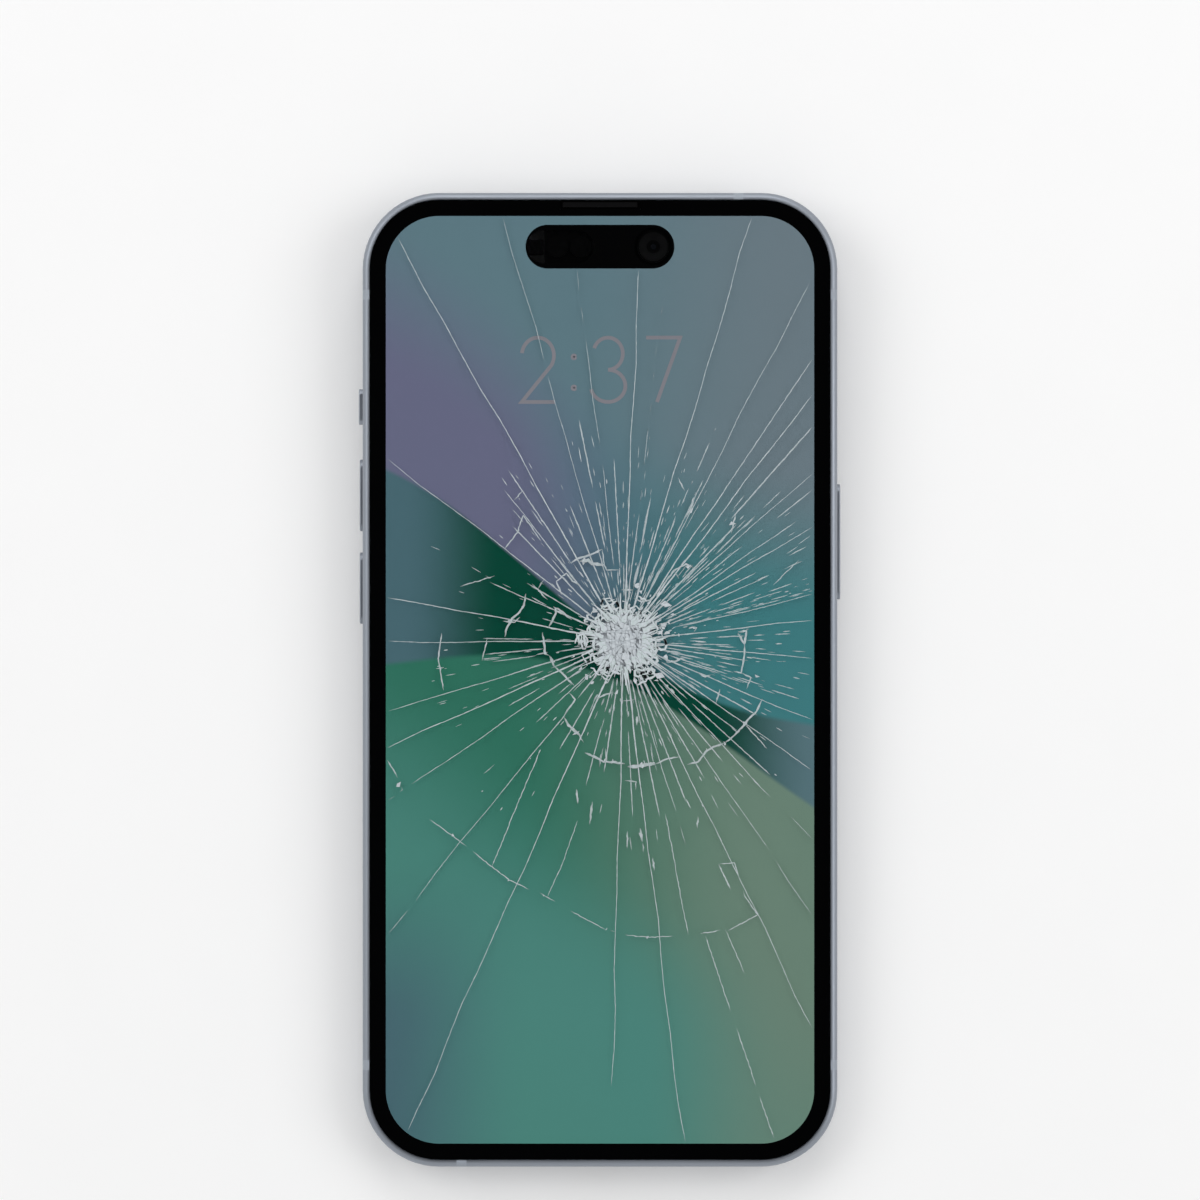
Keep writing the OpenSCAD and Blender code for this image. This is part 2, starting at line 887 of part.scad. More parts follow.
module board_shields() {
    color("lightgray") {
        shield(board_x0 + 1, tray_y + 16, board_x1 - 1, tray_y + 45);
        shield(board_x0 + 1.5, tray_y + 47, board_x1 - 5.5, cover_y0 - 2.4);
        shield(board_x1 - 6, board_y0 + 3.5, board_x1 - 1, tray_y + 12);
    }
}

module board_connectors() {
    color([0.2, 0.18, 0.15])
        translate([0, 0, z_parts]) {
            for (x = [board_x0 + 5, board_x0 + 11])
                block([x, cover_y0 + 2, 0], [x + 3, cover_y0 + 8, connector_h]);
            block([board_x1 - 5.5, cover_y0 + 1, 0], [board_x1 - 2.5, cover_y0 + 8, connector_h]);
            block([board_x1 - 3.6, tray_y + 46.5, 0], [board_x1 - 1.2, tray_y + 50.5, connector_h]);
        }
}

module connector_cover() {
    z0 = z_parts + connector_h + ribbon_t;
    color("silver")
        difference() {
            union() {
                block([board_x0 + 1, cover_y0, z0], [board_x1 - 0.7, board_y1 - 0.5, z0 + cover_t]);
                for (p = cover_points)
                    translate([p[0], p[1], z_parts])
                        cylinder(r = 1.4, h = z0 - z_parts + cover_t / 2, $fn = 32);
            }
            for (p = cover_points)
                translate([p[0], p[1], z_parts - through])
                    cylinder(r = shank_r + 0.05, h = 5, $fn = 32);
        }
}

module battery() {
    color([0.12, 0.12, 0.13])
        translate([(battery_x0 + battery_x1) / 2, (battery_y0 + battery_y1) / 2, z_coil + adhesive_t])
            linear_extrude(battery_t)
                rounded(battery_x1 - battery_x0, battery_y1 - battery_y0, 1.5);
}

module battery_adhesive() {
    color([0.9, 0.9, 0.88])
        for (x = [battery_x0 + 6, battery_x1 - 17])
            block([x, battery_y0 + 3, z_coil], [x + 11, battery_y1 - 3, z_coil + adhesive_t]);
}

module battery_ribbon() {
    z0 = z_parts + connector_h;
    color([0.75, 0.5, 0.2])
        block([board_x1 - 3.8, tray_y + 46.3, z0], [battery_x0, tray_y + 50.7, z0 + ribbon_t]);
}

module coil_ring(r0, r1, z0, h) {
    translate([0, coil_y, z0])
        difference() {
            cylinder(r = r1, h = h);
            translate([0, 0, -through])
                cylinder(r = r0, h = h + 2 * through);
        }
}

module charging_coil() {
    color([0.72, 0.42, 0.25])
        coil_ring(coil_r - 12.3, coil_r, z_floor, coil_t);
}

module coil_shield() {
    color([0.25, 0.25, 0.27])
        translate([0, coil_y, z_floor + coil_t])
            cylinder(r = coil_r + 0.3, h = coil_shield_t);
}

module magnet_ring() {
    pitch = 360 / magnets;
    color("silver")
        for (k = [0:magnets - 1])
            translate([0, coil_y, z_floor])
                rotate([0, 0, k * pitch])
                    rotate_extrude(angle = pitch - 1.2, $fn = 96)
                        translate([magnet_in_r, 0])
                            square([magnet_w, coil_t + coil_shield_t]);
}

// A flat ear over a boss, with its screw hole, reaching to x = x_body
module ear(p, x_body) {
    x0 = min(p[0] - boss_r, x_body);
    x1 = max(p[0] + boss_r, x_body);
    difference() {
        block([x0, p[1] - boss_r, z_boss], [x1, p[1] + boss_r, z_boss + ear_t]);
        translate([p[0], p[1], z_boss - through])
            cylinder(r = shank_r + 0.05, h = ear_t + 2 * through, $fn = 32);
    }
}

module loudspeaker() {
    x1 = speaker_x0 + speaker_w;
    y0 = lane_y1 - speaker_l;
    color([0.1, 0.1, 0.11]) {
        block([speaker_x0, y0, z_floor], [x1, lane_y1, z_stack - 0.3]);
        block(
            [right_holes[0] - 1, -in_y + mesh_t, z_mid - nozzle_half],
            [right_holes[4] + 1, y0, z_mid + nozzle_half]
        );
        ear(speaker_ears[0], x1);
        ear(speaker_ears[1], speaker_x0);
    }
}

module vibration_motor() {
    x1 = motor_x0 + motor_w;
    color([0.7, 0.7, 0.72]) {
        block([motor_x0, lane_y1 - motor_l, z_floor], [x1, lane_y1, z_floor + motor_h]);
        ear(motor_ears[0], motor_x0);
        ear(motor_ears[1], x1);
    }
}

module bottom_mesh() {
    rows = [[right_holes[0], right_holes[4]], [left_holes[2], left_holes[0]]];
    color([0.1, 0.1, 0.11])
        for (row = rows)
            translate([row[0] - grille_rim, -in_y, z_mid - 1])
                cube([row[1] - row[0] + 2 * grille_rim, mesh_t, 2]);
}

module bottom_microphone() {
    color("gold")
        translate([left_holes[1] - 1.6, -in_y + mesh_t, z_mid - 0.6])
            cube([3.2, 2.2, 1.2]);
}

module charging_port() {
    color("silver")
        translate([0, 0, z_mid])
            difference() {
                along_y(port_y0, port_y0 + port_l)
                    pill(port_w, port_h);
                along_y(port_y0 - through, port_y0 + port_l - port_end)
                    pill(port_w - 2 * port_wall, port_h - 2 * port_wall);
            }
}

module port_tongue() {
    y1 = port_y0 + port_l - port_end;
    color([0.1, 0.1, 0.1])
        translate([0, 0, z_mid]) {
            along_y(y1 - tongue_base, y1)
                pill(port_w - 2 * port_wall - 2 * snug, port_h - 2 * port_wall - 2 * snug);
            along_y(y1 - tongue_base - tongue_l, y1 - tongue_base)
                square([tongue_w, tongue_t], center = true);
        }
}

module port_bracket() {
    h = port_w / 2 + loose;
    x = port_feet[1][0] + boss_r;
    z0 = z_boss;
    z1 = z_mid + port_h / 2;
    t = foot_t;
    color("silver")
        difference() {
            along_y(port_feet[0][1] - boss_r, port_feet[0][1] + boss_r)
                polygon([
                    [-x, z0], [-h, z0], [-h, z1], [h, z1], [h, z0], [x, z0],
                    [x, z0 + t], [h + t, z0 + t], [h + t, z1 + t],
                    [-h - t, z1 + t], [-h - t, z0 + t], [-x, z0 + t]
                ]);
            for (p = port_feet)
                translate([p[0], p[1], z0 - through])
                    cylinder(r = shank_r + 0.05, h = 5, $fn = 32);
        }
}

module port_ribbon() {
    x = board_x0 + 1;
    w = 4.5;
    y_port = port_y0 + port_l;
    z1 = z_floor + port_ribbon_t;
    color([0.75, 0.5, 0.2]) {
        // tab on the back of the port, run up the middle, lane across, run up the side
        block([-w / 2, y_port, z_floor], [w / 2, y_port + 0.6, z_mid]);
        block([-w, y_port + 0.3, z_floor], [w, lane_y1 + 4, z1]);
        block([x, lane_y1 + 1, z_floor], [-w, lane_y1 + 4, z1]);
        block([x, lane_y1 + 4, z_floor], [x + w, board_y0 + 3.5, z1]);
        // plug under the board
        block([x, board_y0 + 0.8, z1], [x + w, board_y0 + 3.3, z_board]);
    }
}

// Spring strip that backs the keys' domes; side is -1 on the left and 1 on the right
module key_bracket(side, y0, y1) {
    color("silver")
        mirror([side < 0 ? 1 : 0, 0, 0])
            block([keys_x, y0, z_floor], [bracket_x, y1, z_stack - 0.3]);
}

module key_ribbon(side, y0, y1) {
    mirror([side < 0 ? 1 : 0, 0, 0])
        block([bracket_x, y0, z_mid - ribbon_half], [ribbon_x, y1, z_mid + ribbon_half]);
}

module dome(side, y) {
    mirror([side < 0 ? 1 : 0, 0, 0])
        translate([0, y, z_mid])
            along_x(ribbon_x, dome_x)
                circle(dome_r);
}

module left_key_bracket() {
    key_bracket(-1, volume_down_y - 7.5, switch_y + 4.5);
}

module left_key_switches() {
    color([0.75, 0.5, 0.2]) {
        key_ribbon(-1, volume_down_y - 6, switch_y + 4);
        dome(-1, volume_up_y);
        dome(-1, volume_down_y);
    }
}

module right_key_bracket() {
    key_bracket(1, side_key_y - 7.5, side_key_y + 7.5);
}

module right_key_switch() {
    color([0.75, 0.5, 0.2]) {
        key_ribbon(1, side_key_y - 6, side_key_y + 6);
        dome(1, side_key_y);
    }
}

module ring_switch_base() {
    x0 = in_x - snug - flange_t - loose;
    color([0.15, 0.15, 0.16])
        mirror([1, 0, 0])
            block([ribbon_x, switch_y - 3, z_mid - ribbon_half], [x0, switch_y + 3, z_mid + ribbon_half]);
}

// Lever of the ring switch at the stop nearest the screen, with the plate that hides its opening
module ring_switch() {
    x0 = in_x - snug - flange_t;
    z_lever = z_mid + switch_travel / 2;
    plate_h = switch_h + switch_travel + 0.4;
    color([0.62, 0.64, 0.68])
        mirror([1, 0, 0])
            translate([0, switch_y, z_lever]) {
                along_x(x0, right + switch_proud)
                    pill(switch_l, switch_h);
                along_x(x0, x0 + flange_t)
                    square([switch_l + 2 * switch_plate_rim, plate_h], center = true);
            }
}

// A push key: cap, flange behind the wall, and the nub that meets the dome
module push_key(side, y, l) {
    color([0.62, 0.64, 0.68])
        mirror([side < 0 ? 1 : 0, 0, 0])
            translate([0, y, z_mid]) {
                along_x(in_x - snug - flange_t, right + key_proud)
                    pill(l, key_h);
                along_x(in_x - snug - flange_t, in_x - snug)
                    pill(l + 2 * flange_rim, key_h + 2 * flange_rim);
                along_x(nub_x, in_x - snug)
                    circle(nub_r, $fn = 32);
            }
}

module volume_up_key() {
    push_key(-1, volume_up_y, volume_up_l);
}

module volume_down_key() {
    push_key(-1, volume_down_y, volume_down_l);
}

module side_key() {
    push_key(1, side_key_y, side_key_l);
}

module card_tray() {
    x_card = -right + tray_l - 1 - card_l;
    color([0.62, 0.64, 0.68])
        translate([0, tray_y, z_mid])
            difference() {
                union() {
                    along_x(-right, -right + tray_plate_t)
                        pill(tray_w, tray_h);
                    along_x(-right + tray_plate_t / 2, -right + tray_l)
                        square([tray_body_w, tray_body_t], center = true);
                }
                block(
                    [x_card - loose / 2, -(card_w + loose) / 2, tray_body_t / 2 - card_t],
                    [x_card + card_l + loose / 2, (card_w + loose) / 2, through]
                );
                // pinhole for the ejecting pin
                translate([0, -tray_w / 2 + 1.1, 0])
                    along_x(-right - through, -right + tray_plate_t + 0.4)
                        circle(0.4, $fn = 32);
            }
}

module subscriber_card() {
    x_card = -right + tray_l - 1 - card_l;
    color([0.9, 0.9, 0.88])
        translate([0, tray_y, z_mid])
            translate([x_card, -card_w / 2, tray_body_t / 2 - card_t])
                cube([card_l, card_w, card_t]);
}

module card_reader() {
    half = tray_body_w / 2 + loose;
    x_end = -right + tray_l + reader_wall;
    z_low = z_mid - (tray_body_t + loose) / 2;
    z_high = z_mid + (tray_body_t + loose) / 2;
    color("lightgray")
        translate([0, tray_y, 0])
            difference() {
                block(
                    [-in_x + loose, -half - reader_wall, z_parts],
                    [x_end + reader_wall, half + reader_wall, z_high + reader_wall]
                );
                block([-in_x - through, -half, z_low], [x_end, half, z_high]);
            }
}

// A small screw, its head's underside at z = 0
module screw(shank) {
    difference() {
        union() {
            cylinder(r = head_r, h = head_h, $fn = 32);
            translate([0, 0, -shank])
                cylinder(r = shank_r, h = shank + head_h / 2, $fn = 32);
        }
        translate([0, 0, head_h - 0.2])
            cylinder(r = 0.5, h = 1, $fn = 6);
    }
}

module end_screws() {
    color([0.55, 0.56, 0.6])
        for (x = [-end_screw_x, end_screw_x])
            translate([x, -top + 0.72, z_mid])
                rotate([90, 0, 0])
                    difference() {
                        union() {
                            cylinder(r = head_r - 0.08, h = 0.6, $fn = 32);
                            translate([0, 0, -3.5])
                                cylinder(r = shank_r, h = 3.8, $fn = 32);
                        }
                        translate([0, 0, 0.3])
                            cylinder(r = 0.5, h = 1, $fn = 6);
                    }
}

module cover_screws() {
    z0 = z_parts + connector_h + ribbon_t + cover_t;
    color("silver")
        for (p = cover_points)
            translate([p[0], p[1], z0])
                screw(z0 - z_board + 0.8);
}

module inner_screws() {
    color("silver") {
        for (p = board_screws)
            translate([p[0], p[1], z_parts])
                screw(shank_l);
        for (p = concat(speaker_ears, motor_ears))
            translate([p[0], p[1], z_boss + ear_t])
                screw(shank_l);
        for (p = concat(sensor_ears, port_feet))
            translate([p[0], p[1], z_boss + foot_t])
                screw(shank_l);
        for (p = camera_bosses)
            translate([p[0], p[1], z_floor + can_h + foot_t])
                screw(shank_l);
    }
}

frame();
antenna_breaks();
cover_glass();
display_panel();
display_plate();
display_gasket();
display_ribbon();
earpiece_mesh();
earpiece_speaker();
front_camera();
face_sensor();
light_sensor();
sensor_bracket();
back_glass();
camera_rings();
camera_windows();
upper_rear_camera();
lower_rear_camera();
camera_bracket();
flash_light();
rear_microphone();
logic_board();
board_shields();
board_connectors();
connector_cover();
battery();
battery_adhesive();
battery_ribbon();
charging_coil();
coil_shield();
magnet_ring();
loudspeaker();
vibration_motor();
bottom_microphone();
bottom_mesh();
charging_port();
port_tongue();
port_bracket();
port_ribbon();
left_key_bracket();
left_key_switches();
right_key_bracket();
right_key_switch();
ring_switch_base();
ring_switch();
volume_up_key();
volume_down_key();
side_key();
card_tray();
subscriber_card();
card_reader();
end_screws();
cover_screws();
inner_screws();
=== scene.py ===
"""Finishes and fine pieces of a touch-screen handset whose front glass is shattered.

The CAD pieces are the fixed frame. They keep their shapes, or are stood for by a copy with
rounded edges. The crack web, the crushed glass, the lit screen, the lenses and the stage are
made here. Lengths are in metres, and the web's own lengths are in millimetres from the impact.
"""

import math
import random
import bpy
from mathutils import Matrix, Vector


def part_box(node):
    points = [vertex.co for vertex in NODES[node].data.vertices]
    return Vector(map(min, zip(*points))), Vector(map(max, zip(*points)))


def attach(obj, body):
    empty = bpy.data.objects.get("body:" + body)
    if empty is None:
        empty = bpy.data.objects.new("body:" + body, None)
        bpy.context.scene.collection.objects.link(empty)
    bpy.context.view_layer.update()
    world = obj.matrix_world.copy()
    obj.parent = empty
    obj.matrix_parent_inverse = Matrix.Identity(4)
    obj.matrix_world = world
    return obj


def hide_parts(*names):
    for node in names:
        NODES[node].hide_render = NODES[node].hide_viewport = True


bl_info = {
    "name": "Shattered Handset",
    "version": (1, 0, 0),
    "blender": (4, 5, 0),
    "location": "View3D > Sidebar > Handset",
    "description": "Finishes, crack web, lenses and stage of a handset with a shattered screen",
    "category": "Object",
}

from math import cos, hypot, radians, sin

import bmesh
import bpy
from mathutils import Euler, Matrix, Vector

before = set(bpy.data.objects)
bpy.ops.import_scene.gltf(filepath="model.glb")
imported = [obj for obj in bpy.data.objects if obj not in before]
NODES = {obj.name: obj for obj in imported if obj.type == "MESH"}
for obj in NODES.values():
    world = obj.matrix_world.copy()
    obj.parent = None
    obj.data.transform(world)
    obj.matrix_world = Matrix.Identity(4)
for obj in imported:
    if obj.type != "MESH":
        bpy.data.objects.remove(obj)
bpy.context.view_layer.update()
MM = 0.001

GLASS_LOW, GLASS_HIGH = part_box("cover_glass")
BAND_LOW, BAND_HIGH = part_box("frame")
CAMERA_LOW, CAMERA_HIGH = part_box("front_camera")
MESH_LOW, MESH_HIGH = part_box("earpiece_mesh")
PANEL_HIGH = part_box("display_panel")[1]
RING_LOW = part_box("camera_rings")[0]
ISLAND = (CAMERA_LOW + CAMERA_HIGH) / 2

WELD = 1e-6  # points closer than this become one
ON_PLANE = 1e-7  # points this close to a cutting plane lie on it
SHARP = radians(35)  # edges that are bent more than this can be rounded
CLOCK_LIFT, PRINT_LIFT = 0.004 * MM, 0.008 * MM  # above the panel
BLACK = (0.0006, 0.0006, 0.0007)


def tone(red, green, blue):
    """A colour written as screen values from 0 to 255, as the linear numbers that shaders take."""
    return tuple(
        v / 12.92 if v <= 0.04045 else ((v + 0.055) / 1.055) ** 2.4
        for v in (red / 255, green / 255, blue / 255)
    )


def scaled(rgb, factor):
    """The same colour, darker or brighter."""
    return tuple(min(1, v * factor) for v in rgb)


# Settings


def length(description, size, **limits):
    """A length a user can change, given in millimetres."""
    return bpy.props.FloatProperty(
        description=description, default=size * MM, unit="LENGTH", subtype="DISTANCE",
        precision=5, **limits,
    )


def colour(description, rgb):
    """A colour a user can change."""
    return bpy.props.FloatVectorProperty(
        description=description, default=rgb, size=3, subtype="COLOR", min=0, max=1
    )


def count(description, number, **limits):
    """A whole number a user can change."""
    return bpy.props.IntProperty(description=description, default=number, **limits)


class HandsetScreenSettings(bpy.types.PropertyGroup):
    """The lit screen and its black border."""

    border: length("Black border between the glass's edge and the lit screen", 2.425)
    glass_corner: length("Radius of the glass's corners", 10.45)
    island_length: length("Length of the black sensor island", 22.37)
    island_height: length("Height of the black sensor island", 6.55)
    clock_height: length("Height of the clock's numbers", 9.7)
    clock_drop: length("From the glass's top end to the clock's middle", 25.6)
    clock_stroke: length("Width of the numbers' strokes", 0.55)
    slate: colour("Upper left field", tone(103, 133, 143))
    grey: colour("Upper right field", tone(117, 134, 143))
    violet: colour("Left of the second field", tone(112, 115, 143))
    teal: colour("Right of the second field", tone(70, 134, 139))
    deep: colour("Middle field", tone(12, 74, 59))
    leaf: colour("Left of the fourth field", tone(54, 122, 102))
    lagoon: colour("Middle of the lower fields", tone(84, 146, 136))
    sage: colour("Lower right field", tone(117, 145, 129))
    dusk: colour("Left edge and lower left corner", tone(80, 114, 124))
    clock: colour("The clock's numbers", tone(133, 132, 140))


class HandsetGlassSettings(bpy.types.PropertyGroup):
    """The impact and the web of cracks."""

    hit_x: length("Impact point to the right of the middle", 3.55)
    hit_y: length("Impact point above the middle", 5.85)
    pit: length("Mean radius of the crushed pit", 4.3, min=1 * MM)
    crack: length("Width of a main crack beside the pit", 0.31, min=0.05 * MM)
    dashes: count("Number of short broken cracks", 260, min=0, max=2000)
    rays: count("Number of fine dotted cracks", 120, min=0, max=500)
    seed: count("Changes the lie of the small cracks and the shards", 7)
    light: colour("Broken glass where it catches the light", tone(202, 209, 215))
    shade: colour("Thin dark line along each crack", tone(18, 30, 34))


class HandsetBodySettings(bpy.types.PropertyGroup):
    """The band, the keys and the back."""

    metal: colour("Anodised band and keys", tone(150, 156, 165))
    breaks: colour("Plastic strips across the band", tone(150, 157, 167))
    back: colour("Colour behind the back glass", tone(126, 139, 157))
    edge: length("Rounding of the keys' outer edges", 0.14, min=0.02 * MM)


class HandsetStageSettings(bpy.types.PropertyGroup):
    """Floor, lights and camera."""

    floor: colour("Pale floor", (0.9, 0.9, 0.9))
    view_width: length("Width of what the camera sees at the glass", 180.64)
    view_rise: length("How far above the body's middle the camera looks", 12.02)
    distance: length("From the camera to the glass", 1200)
    lamp: bpy.props.FloatProperty(description="Power of each lamp in watts", default=2.7, min=0)


# Finishes


def maths(operation, reflected=False):
    """A method of Value that adds one Math node."""

    def method(self, *others):
        numbers = (*others, self) if reflected else (self, *others)
        return self.finish.node("Math", {"operation": operation}, dict(enumerate(numbers)))

    return method


class Value:
    """A node's output. Plain arithmetic on it adds Math nodes."""

    def __init__(self, finish, socket):
        self.finish = finish
        self.socket = socket

    __add__, __radd__ = maths("ADD"), maths("ADD", True)
    __sub__, __rsub__ = maths("SUBTRACT"), maths("SUBTRACT", True)
    __mul__, __rmul__ = maths("MULTIPLY"), maths("MULTIPLY", True)
    __abs__, wave = maths("ABSOLUTE"), maths("SINE")
    least, most = maths("MINIMUM"), maths("MAXIMUM")
    root = maths("SQRT")

    def other(self, name):
        """Another output of the same node."""
        return Value(self.finish, self.socket.node.outputs[name])

    def across(self, other):
        """The long side of a right triangle whose short sides are the two values."""
        return (self * self + other * other).root()

    def rise(self, start, end, low=0.0, high=1.0):
        """Goes smoothly from low to high as the value goes from start to end."""
        return self.finish.node(
            "MapRange", {"interpolation_type": "SMOOTHSTEP"},
            {"Value": self, "From Min": start, "From Max": end, "To Min": low, "To Max": high},
        )


class Finish:
    """The nodes of a material or of the world. A shader's constants are set on its own sockets."""

    def __init__(self, name, kind="Material"):
        store = bpy.data.materials if kind == "Material" else bpy.data.worlds
        self.owner = store.new(name)
        self.owner.use_nodes = True
        self.tree = self.owner.node_tree
        self.tree.nodes.clear()
        self.output = self.tree.nodes.new("ShaderNodeOutput" + kind)

    def node(self, kind, settings=None, sockets=None, output=0):
        """Adds one node, its settings first, then its sockets' numbers or links."""
        node = self.tree.nodes.new("ShaderNode" + kind)
        for key, value in (settings or {}).items():
            setattr(node, key, value)
        for key, value in (sockets or {}).items():
            if isinstance(value, Value):
                self.tree.links.new(value.socket, node.inputs[key])
            else:
                node.inputs[key].default_value = value
        return Value(self, node.outputs[output])

    def close(self, shader):
        """Links a shader to the output."""
        self.tree.links.new(shader.socket, self.output.inputs["Surface"])
        return self.owner

    def place(self):
        """Where a point is on the piece, as three values in millimetres."""
        where = self.node("TexCoord", output="Object")
        parts = self.node("SeparateXYZ", sockets={0: where})
        return [parts.other(name) * 1000 for name in "XYZ"]

    def away(self, middle):
        """How far a point is from a place, seen from the front, in millimetres."""
        x, y, _ = self.place()
        return (x - middle.x / MM).across(y - middle.y / MM)

    def noise(self, scale, detail=3.0, rough=0.5, stretch=None):
        """Noise over the piece; scale is in repeats to a metre."""
        where = self.node("TexCoord", output="Object")
        if stretch:
            where = self.node("Mapping", sockets={"Vector": where, "Scale": stretch})
        return self.node(
            "TexNoise",
            sockets={"Vector": where, "Scale": scale, "Detail": detail, "Roughness": rough},
        )

    def attribute(self, name):
        return self.node("Attribute", {"attribute_name": name}, output="Fac")

    def blend(self, first, second, factor):
        """From the first colour to the second."""
        ends = [c if isinstance(c, Value) else (*c, 1) for c in (first, second)]
        return self.node(
            "Mix", {"data_type": "RGBA"}, {0: factor, 6: ends[0], 7: ends[1]}, output=2
        )

    def bump(self, height, depth):
        """Depth is in metres."""
        return self.node("Bump", sockets={"Height": height, "Distance": depth, "Strength": 1.0})

    def surface(self, first, second, factor, roughness, **inputs):
        """The shader itself, in a blend of two colours. Names are its other sockets, with _ for a
        space."""
        sockets = {"Base Color": self.blend(first, second, factor), "Roughness": roughness}
        for key, value in inputs.items():
            sockets[key.replace("_", " ").title().replace("Ior", "IOR")] = value
        return self.close(self.node("BsdfPrincipled", sockets=sockets))


def plain_finish(
    name, rgb, roughness=0.5, metallic=0.0, grain=900.0, depth=0.00001, spread=0.12, coat=0.0
):
    """A finish with fine grain: its colour, gloss and surface vary a little."""
    finish = Finish(name)
    cloud = finish.noise(grain / 8, 4)
    speck = finish.noise(grain * 4, 2)
    ends = max(0.02, roughness - 0.08), min(1, roughness + 0.08)
    return finish.surface(
        scaled(rgb, 1 - spread), scaled(rgb, 1 + spread), cloud, cloud.rise(0.3, 0.7, *ends),
        metallic=metallic, coat_weight=coat, normal=finish.bump(speck, depth),
    )


def dress(material, *names):
    """Gives CAD pieces a finish."""
    for name in names:
        piece = NODES[name]
        if not piece.material_slots:
            piece.data.materials.append(material)
        for slot in piece.material_slots:
            slot.material = material


# Shapes


def make(name, bm, material):
    """Turns a bmesh into an object of the scene."""
    mesh = bpy.data.meshes.new(name)
    bm.to_mesh(mesh)
    bm.free()
    mesh.materials.append(material)
    piece = bpy.data.objects.new(name, mesh)
    bpy.context.scene.collection.objects.link(piece)
    return piece


def add_piece(
    name, bm, material, body="housing", smooth=None, replaces=(), thick=0
):
    """Makes a bmesh a finished piece that rides on a body. A thick piece grows inwards."""
    piece = make(name, bm, material)
    if smooth is not None:
        piece.data.polygons.foreach_set("use_smooth", [True] * len(piece.data.polygons))
        piece.data.set_sharp_from_angle(angle=radians(smooth))
    if thick:
        skin = piece.modifiers.new("thickness", "SOLIDIFY")
        skin.thickness = thick
        skin.offset = -1
    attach(piece, body)
    if replaces:
        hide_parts(*replaces)
    return piece


def merged_copy(node, whole_faces=True):
    """A CAD piece's mesh with its loose triangles joined, into whole flat faces if asked."""
    bm = bmesh.new()
    bm.from_mesh(NODES[node].data)
    bmesh.ops.remove_doubles(bm, verts=bm.verts, dist=WELD)
    if whole_faces:
        flat = radians(0.4)
        bmesh.ops.dissolve_limit(bm, angle_limit=flat, verts=bm.verts, edges=bm.edges)
    return bm


def bevel(bm, geom, radius, segments, affect="EDGES", clamp=True):
    """Rounds edges or corners."""
    bmesh.ops.bevel(
        bm, geom=geom, offset=radius, offset_type="OFFSET", affect=affect, segments=segments,
        profile=0.5, material=-1, clamp_overlap=clamp,
    )


def rounded_piece(name, node, radius, wanted, material, body="housing", segments=3):
    """Stands in for a CAD piece, with those sharp edges rounded whose two ends are wanted. Even
    shading keeps its flat faces flat beside them."""
    bm = merged_copy(node)
    edges = [
        e for e in bm.edges
        if len(e.link_faces) == 2 and e.calc_face_angle(0) > SHARP
        and all(wanted(v.co) for v in e.verts)
    ]
    bevel(bm, edges, radius, segments)
    piece = add_piece(name, bm, material, body, 35, (node,))
    piece.modifiers.new("even_shading", "WEIGHTED_NORMAL").keep_sharp = True


def cut(bm, spot, normal, **settings):
    """Cuts all faces with a plane."""
    bmesh.ops.bisect_plane(
        bm, geom=bm.verts[:] + bm.edges[:] + bm.faces[:], dist=ON_PLANE, plane_co=spot,
        plane_no=normal, **settings,
    )


def disc(bm, radius, segments, matrix=Matrix(), uneven=0, wave=1):
    """A flat disc, with an uneven rim if asked."""
    made = bmesh.ops.create_circle(
        bm, cap_ends=True, cap_tris=False, segments=segments, radius=radius, matrix=matrix
    )["verts"]
    if uneven:
        for k, vert in enumerate(bm.verts):
            vert.co *= 1 + uneven * wander(90, k * wave)
    return made


def face_up(bm):
    """Turns flat pieces that face down."""
    bm.normal_update()
    bmesh.ops.reverse_faces(bm, faces=[f for f in bm.faces if f.normal.z < 0])


def thicken(bm, thickness):
    """Gives flat faces a thickness, with every face turned outward."""
    face_up(bm)
    bmesh.ops.solidify(bm, geom=bm.faces[:], thickness=thickness)
    bmesh.ops.recalc_face_normals(bm, faces=bm.faces[:])


def ring_sheet(outer, inner, height):
    """A flat ring between two rounded rectangles, each its width, height, radius and middle y."""
    bm = bmesh.new()
    for width, tall, radius, y in (outer, inner):
        corners = bmesh.ops.create_grid(
            bm, x_segments=1, y_segments=1, size=0.5,
            matrix=Matrix.Translation((0, y, height)) @ Matrix.Diagonal((width, tall, 1, 1)),
        )["verts"]
        bevel(bm, corners, radius, 14, "VERTICES", False)
    bmesh.ops.delete(bm, geom=bm.faces[:], context="FACES_ONLY")
    bmesh.ops.bridge_loops(bm, edges=bm.edges[:])
    return bm


def chain(bm, places):
    """A row of points joined by edges."""
    verts = [bm.verts.new(place) for place in places]
    return verts, [bm.edges.new(pair) for pair in zip(verts, verts[1:])]


def new_verts(made):
    """The points among what an operator made."""
    return [v for v in made["geom"] if isinstance(v, bmesh.types.BMVert)]


def strips(paths, origin, lift, unit):
    """Flat ribbons along paths, each a hair above the last, so that none share a plane. A path
    is its points, the ways to the ribbon's side and its tones. The mesh keeps the tone and how
    far across the ribbon each point is."""
    bm = bmesh.new()
    across = bm.verts.layers.float.new("across")
    shade = bm.verts.layers.float.new("tone")
    spread = {}
    for n, (points, sides, tones) in enumerate(paths):
        places = [origin + Vector((p.x * unit, p.y * unit, n * lift)) for p in points]
        for vert, side, bright in zip(chain(bm, places)[0], sides, tones):
            spread[vert] = side.to_3d()
            vert[shade] = bright
    spine = bm.edges[:]
    for way in (1, -1):
        for vert in new_verts(bmesh.ops.extrude_edge_only(bm, edges=spine)):
            ends = (e.other_vert(vert) for e in vert.link_edges)
            root = next(end for end in ends if end in spread)
            vert.co = root.co + spread[root] * way
            vert[across] = way
            vert[shade] = root[shade]
    face_up(bm)
    return bm


